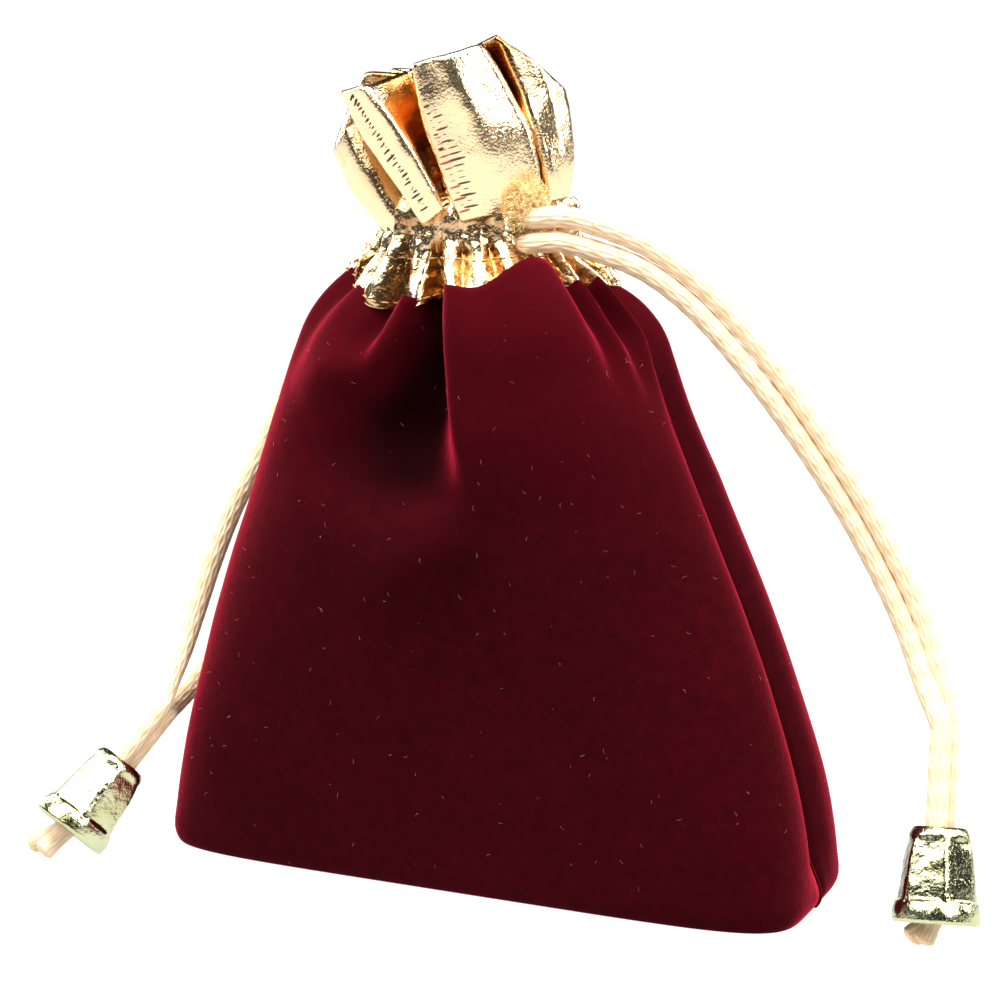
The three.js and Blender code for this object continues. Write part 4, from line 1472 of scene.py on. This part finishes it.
def bristles(name, bed_points, bed_faces, finish, density, length, thickness, seed, lean, curl):
    """Thin curved fibres that grow from a bed of faces, in millimetres; only the fibres are kept."""
    bed = mesh_object(name, bed_points, bed_faces, turn_out=False)
    growth = Growth(
        bed,
        f"{name}_fibres",
        {
            "Density": ("NodeSocketFloat", density),
            "Length": ("NodeSocketFloat", length),
            "Thickness": ("NodeSocketFloat", thickness),
            "Lean": ("NodeSocketFloat", lean),
            "Seed": ("NodeSocketInt", seed),
        },
    )
    spots = growth.tree.nodes.new("GeometryNodeDistributePointsOnFaces")
    for label, socket in (("Geometry", "Mesh"), ("Density", "Density"), ("Seed", "Seed")):
        growth.link(growth.value(label), spots, socket)
    middle = growth.node("ShaderNodeCombineXYZ", links={"X": curl, "Y": 0.0, "Z": 0.5})
    tip = growth.node("ShaderNodeCombineXYZ", links={"X": 0.0, "Y": curl * 0.4, "Z": 1.0})
    bow = growth.node(
        "GeometryNodeCurveQuadraticBezier",
        links={"Resolution": 5, "Start": (0.0, 0.0, -0.1), "Middle": middle, "End": tip},
    )
    round_section = growth.node("GeometryNodeCurvePrimitiveCircle", links={"Resolution": 3, "Radius": 0.5})
    line, section = (
        growth.node("GeometryNodeTransform", links={"Geometry": shape, "Scale": growth.even_scale(label)})
        for shape, label in ((bow, "Length"), (round_section, "Thickness"))
    )
    fibre = growth.node(
        "GeometryNodeCurveToMesh", links={"Curve": line, "Profile Curve": section, "Fill Caps": True}
    )
    # a fibre turns by up to a radian about X and Y and by half a circle about Z, times the lean
    ends = [
        growth.node(
            "ShaderNodeVectorMath",
            {"operation": "SCALE"},
            {0: (sign, sign, sign * 3.1), "Scale": growth.value("Lean")},
        )
        for sign in (-1.0, 1.0)
    ]
    tilt = growth.random("FLOAT_VECTOR", "VECTOR", *ends)
    turns = growth.node(
        "FunctionNodeRotateRotation",
        {"rotation_space": "LOCAL"},
        {"Rotation": spots.outputs["Rotation"], "Rotate By": tilt},
    )
    grown = growth.node(
        "GeometryNodeInstanceOnPoints",
        links={"Points": spots.outputs["Points"], "Instance": fibre, "Rotation": turns},
    )
    return growth.done(grown, finish)


LINT_THICKNESS = 0.00002


class POUCH_OT_lint(bpy.types.Operator):
    """Loose fibres on the velvet"""

    bl_idname = "pouch.lint"
    bl_label = "Lint"

    def execute(self, context):
        settings, velvet = context.scene.pouch_lint, context.scene.pouch_velvet
        for side, start, folds in (("front", -math.pi, FRONT_FOLDS), ("back", 0.0, BACK_FOLDS)):
            outer, _ = velvet_grid(start, folds, velvet)
            grid = outer[16:-4:4, 4:-4:4]
            faces = quads_between(*grid.shape[:2], False, False).tolist()
            fibres = bristles(
                f"lint_{side}",
                grid.reshape(-1, 3),
                faces,
                material("lint"),
                settings.density,
                settings.length,
                LINT_THICKNESS,
                settings.seed + (side == "back"),
                lean=1.35,
                curl=0.5,
            )
            finish_piece(fibres, None, "pouch")
        return {"FINISHED"}


# Where the cords leave the channel: the middle of each opening and the way that it faces, in degrees.
EXIT_PLACES = {"right": (5.9, -6.9, -45.0), "left": (-11.9, 6.9, 135.0)}
EXIT_HEIGHT = 87.5
MOUTH_STEPS = 120
MOUTH_RADIUS = 0.75
# The tuft beside the right opening: its root, the way to its tip, the way that it bows and how thick it is,
# then its hairs' number on a square metre, length, thickness and seed.
TUFT_ROOT = (6.3, -7.3, 87.6)
TUFT_RISE = (0.4, 0.0, 6.2)
TUFT_BOW = (0.72, -0.468, 0.0)
TUFT_RADIUS = 1.55
TUFT_HAIRS = (1.5e7, 0.0016, 0.00011, 5)


class POUCH_OT_channel_mouths(bpy.types.Operator):
    """The puckered openings that the cords leave through, with the frayed backing of the gold strip"""

    bl_idname = "pouch.channel_mouths"
    bl_label = "Channel mouths"

    def execute(self, context):
        for side, (x, y, degrees) in EXIT_PLACES.items():
            out = np.array([math.cos(math.radians(degrees)), math.sin(math.radians(degrees)), 0.0])
            along = np.array([-out[1], out[0], 0.0])
            turn = TAU * np.arange(MOUTH_STEPS) / MOUTH_STEPS
            ring = (
                np.array([x, y, EXIT_HEIGHT])
                + out * (0.75 + 0.25 * np.cos(2 * turn))[:, None]
                + along * (1.95 * np.cos(turn))[:, None]
                + np.array(UP) * (3.55 * np.sin(turn))[:, None]
            )

            def pleated(run, turn):
                return 1 + 0.28 * np.sin(2.6 * run) * np.cos(turn) + 0.12 * np.sin(6.1 * run + turn)

            mouth = tube_mesh(f"channel_mouth_{side}", ring, MOUTH_RADIUS, 20, closed=True, relief=pleated)
            finish_piece(mouth, material("foil"), "pouch")
        # a tuft of the strip's woven backing stands up above the right opening
        t = np.linspace(0, 1, 26)
        line = np.array(TUFT_ROOT) + np.outer(t, TUFT_RISE) + np.outer(np.sin(math.pi * t), TUFT_BOW)
        girth = TUFT_RADIUS * np.sqrt(np.clip(1 - (2 * t - 0.92) ** 2 * 0.93, 0.02, 1))

        def lumpy(run, turn):
            return 1 + 0.12 * np.sin(2 * turn + run) + 0.08 * np.sin(5 * turn - 2.2 * run)

        tuft = tube_mesh("frayed_backing_right", line, girth, 40, relief=lumpy, flatten=0.8)
        finish_piece(tuft, material("fuzz"), "pouch")
        points = np.array([v.co for v in tuft.data.vertices]) / MM
        faces = [list(p.vertices) for p in tuft.data.polygons]
        fuzz = material("fuzz")
        hairs = bristles("frayed_yarn_right", points, faces, fuzz, *TUFT_HAIRS, lean=0.9, curl=0.6)
        finish_piece(hairs, None, "pouch")
        return {"FINISHED"}


# ---- stage ----

CAMERA_TARGET = (0.0, 0.0, 0.0504)
CAMERA_DISTANCE = 0.36
CAMERA_AZIMUTH = 24.0
CAMERA_ELEVATION = 12.0
CAMERA_LENS = 97.1
SENSOR_WIDTH = 36
CLIP = (0.01, 30)
# The floor's rings in metres, its steps round them and how far it lies below the pouch, in millimetres.
FLOOR_RINGS = (0.4, 2.0, 9.0)
FLOOR_STEPS = 96
FLOOR_DROP = 0.02
# The skylight: azimuth, elevation and distance, its strength and its width in degrees.
SKY_PLACE = (-20, 62, 2.0)
SKY_STRENGTH = 0.35
SKY_WIDTH = 50
WORLD_STRENGTH = 0.03


def direction(azimuth, elevation):
    a, e = math.radians(azimuth), math.radians(elevation)
    return np.array([math.sin(a) * math.cos(e), -math.cos(a) * math.cos(e), math.sin(e)])


def aimed(obj, azimuth, elevation, distance):
    """Puts a light or camera at a direction and distance from the pouch, looking at it."""
    way = Vector(direction(azimuth, elevation))
    obj.location = Vector(CAMERA_TARGET) + way * distance
    obj.rotation_euler = way.to_track_quat("Z", "Y").to_euler()
    bpy.context.scene.collection.objects.link(obj)
    return obj


# Name, azimuth, elevation, distance, size across, size up, watts.
SOFTBOXES = (
    ("softbox_key", -50, 46, 0.95, 0.5, 0.6, 8.0),
    ("softbox_front", -6, 52, 1.0, 0.2, 0.6, 2.4),
    ("softbox_fill", 68, 44, 0.95, 0.3, 0.7, 8.6),
    ("softbox_rim_left", -112, 26, 0.9, 0.2, 0.7, 4.0),
    ("softbox_rim_right", 126, 32, 0.9, 0.2, 0.7, 6.0),
    ("softbox_top", 14, 80, 0.9, 0.45, 0.45, 13.0),
)


class POUCH_OT_stage(bpy.types.Operator):
    """A pale floor, soft studio lights and the camera"""

    bl_idname = "pouch.stage"
    bl_label = "Stage"

    def execute(self, context):
        scene = context.scene
        camera = bpy.data.cameras.new("camera")
        camera.lens = CAMERA_LENS
        camera.sensor_width = SENSOR_WIDTH
        camera.clip_start, camera.clip_end = CLIP
        scene.camera = aimed(
            bpy.data.objects.new("camera", camera), CAMERA_AZIMUTH, CAMERA_ELEVATION, CAMERA_DISTANCE
        )
        ring = TAU * np.arange(FLOOR_STEPS) / FLOOR_STEPS
        rims = [(0.0, 0.0)] + [(r * math.cos(a), r * math.sin(a)) for r in FLOOR_RINGS for a in ring]
        points = [(x / MM, y / MM, -FLOOR_DROP) for x, y in rims]
        faces = [[0, 1 + k, 1 + (k + 1) % FLOOR_STEPS] for k in range(FLOOR_STEPS)]
        faces += (quads_between(len(FLOOR_RINGS), FLOOR_STEPS, False, True) + 1)[:, ::-1].tolist()
        floor = mesh_object("floor", points, faces, turn_out=False)
        if floor.data.polygons[0].normal.z < 0:
            floor.data.flip_normals()
        floor.data.materials.append(material("floor"))
        for name, azimuth, elevation, distance, across, up, watts in SOFTBOXES:
            light = bpy.data.lights.new(name, "AREA")
            light.shape = "RECTANGLE"
            light.size, light.size_y = across, up
            light.energy = watts
            aimed(bpy.data.objects.new(name, light), azimuth, elevation, distance)
        sun = bpy.data.lights.new("skylight", "SUN")
        sun.energy = SKY_STRENGTH
        sun.angle = math.radians(SKY_WIDTH)
        skylight = aimed(bpy.data.objects.new("skylight", sun), *SKY_PLACE)
        skylight.visible_glossy = False
        world = bpy.data.worlds.new("studio")
        world.use_nodes = True
        background = world.node_tree.nodes["Background"]
        background.inputs["Color"].default_value = (1, 1, 1, 1)
        background.inputs["Strength"].default_value = WORLD_STRENGTH
        scene.world = world
        scene.view_settings.view_transform = "Standard"
        return {"FINISHED"}


# ---- panel and registration ----

OPERATORS = (
    POUCH_OT_stage,
    POUCH_OT_beads,
    POUCH_OT_drawstrings,
    POUCH_OT_velvet,
    POUCH_OT_collar,
    POUCH_OT_stitches,
    POUCH_OT_channel_mouths,
    POUCH_OT_lint,
)


class POUCH_PT_panel(bpy.types.Panel):
    """Lists the pouch's sizes, colours and pieces"""

    bl_idname = "POUCH_PT_panel"
    bl_label = "Gift pouch"
    bl_space_type = "VIEW_3D"
    bl_region_type = "UI"
    bl_category = "Pouch"

    def draw(self, context):
        layout = self.layout
        for name, group in SETTINGS.items():
            box = layout.box()
            for key in group.__annotations__:
                box.prop(getattr(context.scene, name), key)
        for operator in OPERATORS:
            layout.operator(operator.bl_idname)


def register():
    for cls in (*SETTINGS.values(), *OPERATORS, POUCH_PT_panel):
        bpy.utils.register_class(cls)
    for name, group in SETTINGS.items():
        setattr(bpy.types.Scene, name, PointerProperty(type=group))


def unregister():
    for name in SETTINGS:
        delattr(bpy.types.Scene, name)
    for cls in reversed((*SETTINGS.values(), *OPERATORS, POUCH_PT_panel)):
        bpy.utils.unregister_class(cls)


def main():
    register()
    for operator in OPERATORS:
        category, action = operator.bl_idname.split(".")
        getattr(getattr(bpy.ops, category), action)()


if __name__ == "__main__":
    main()
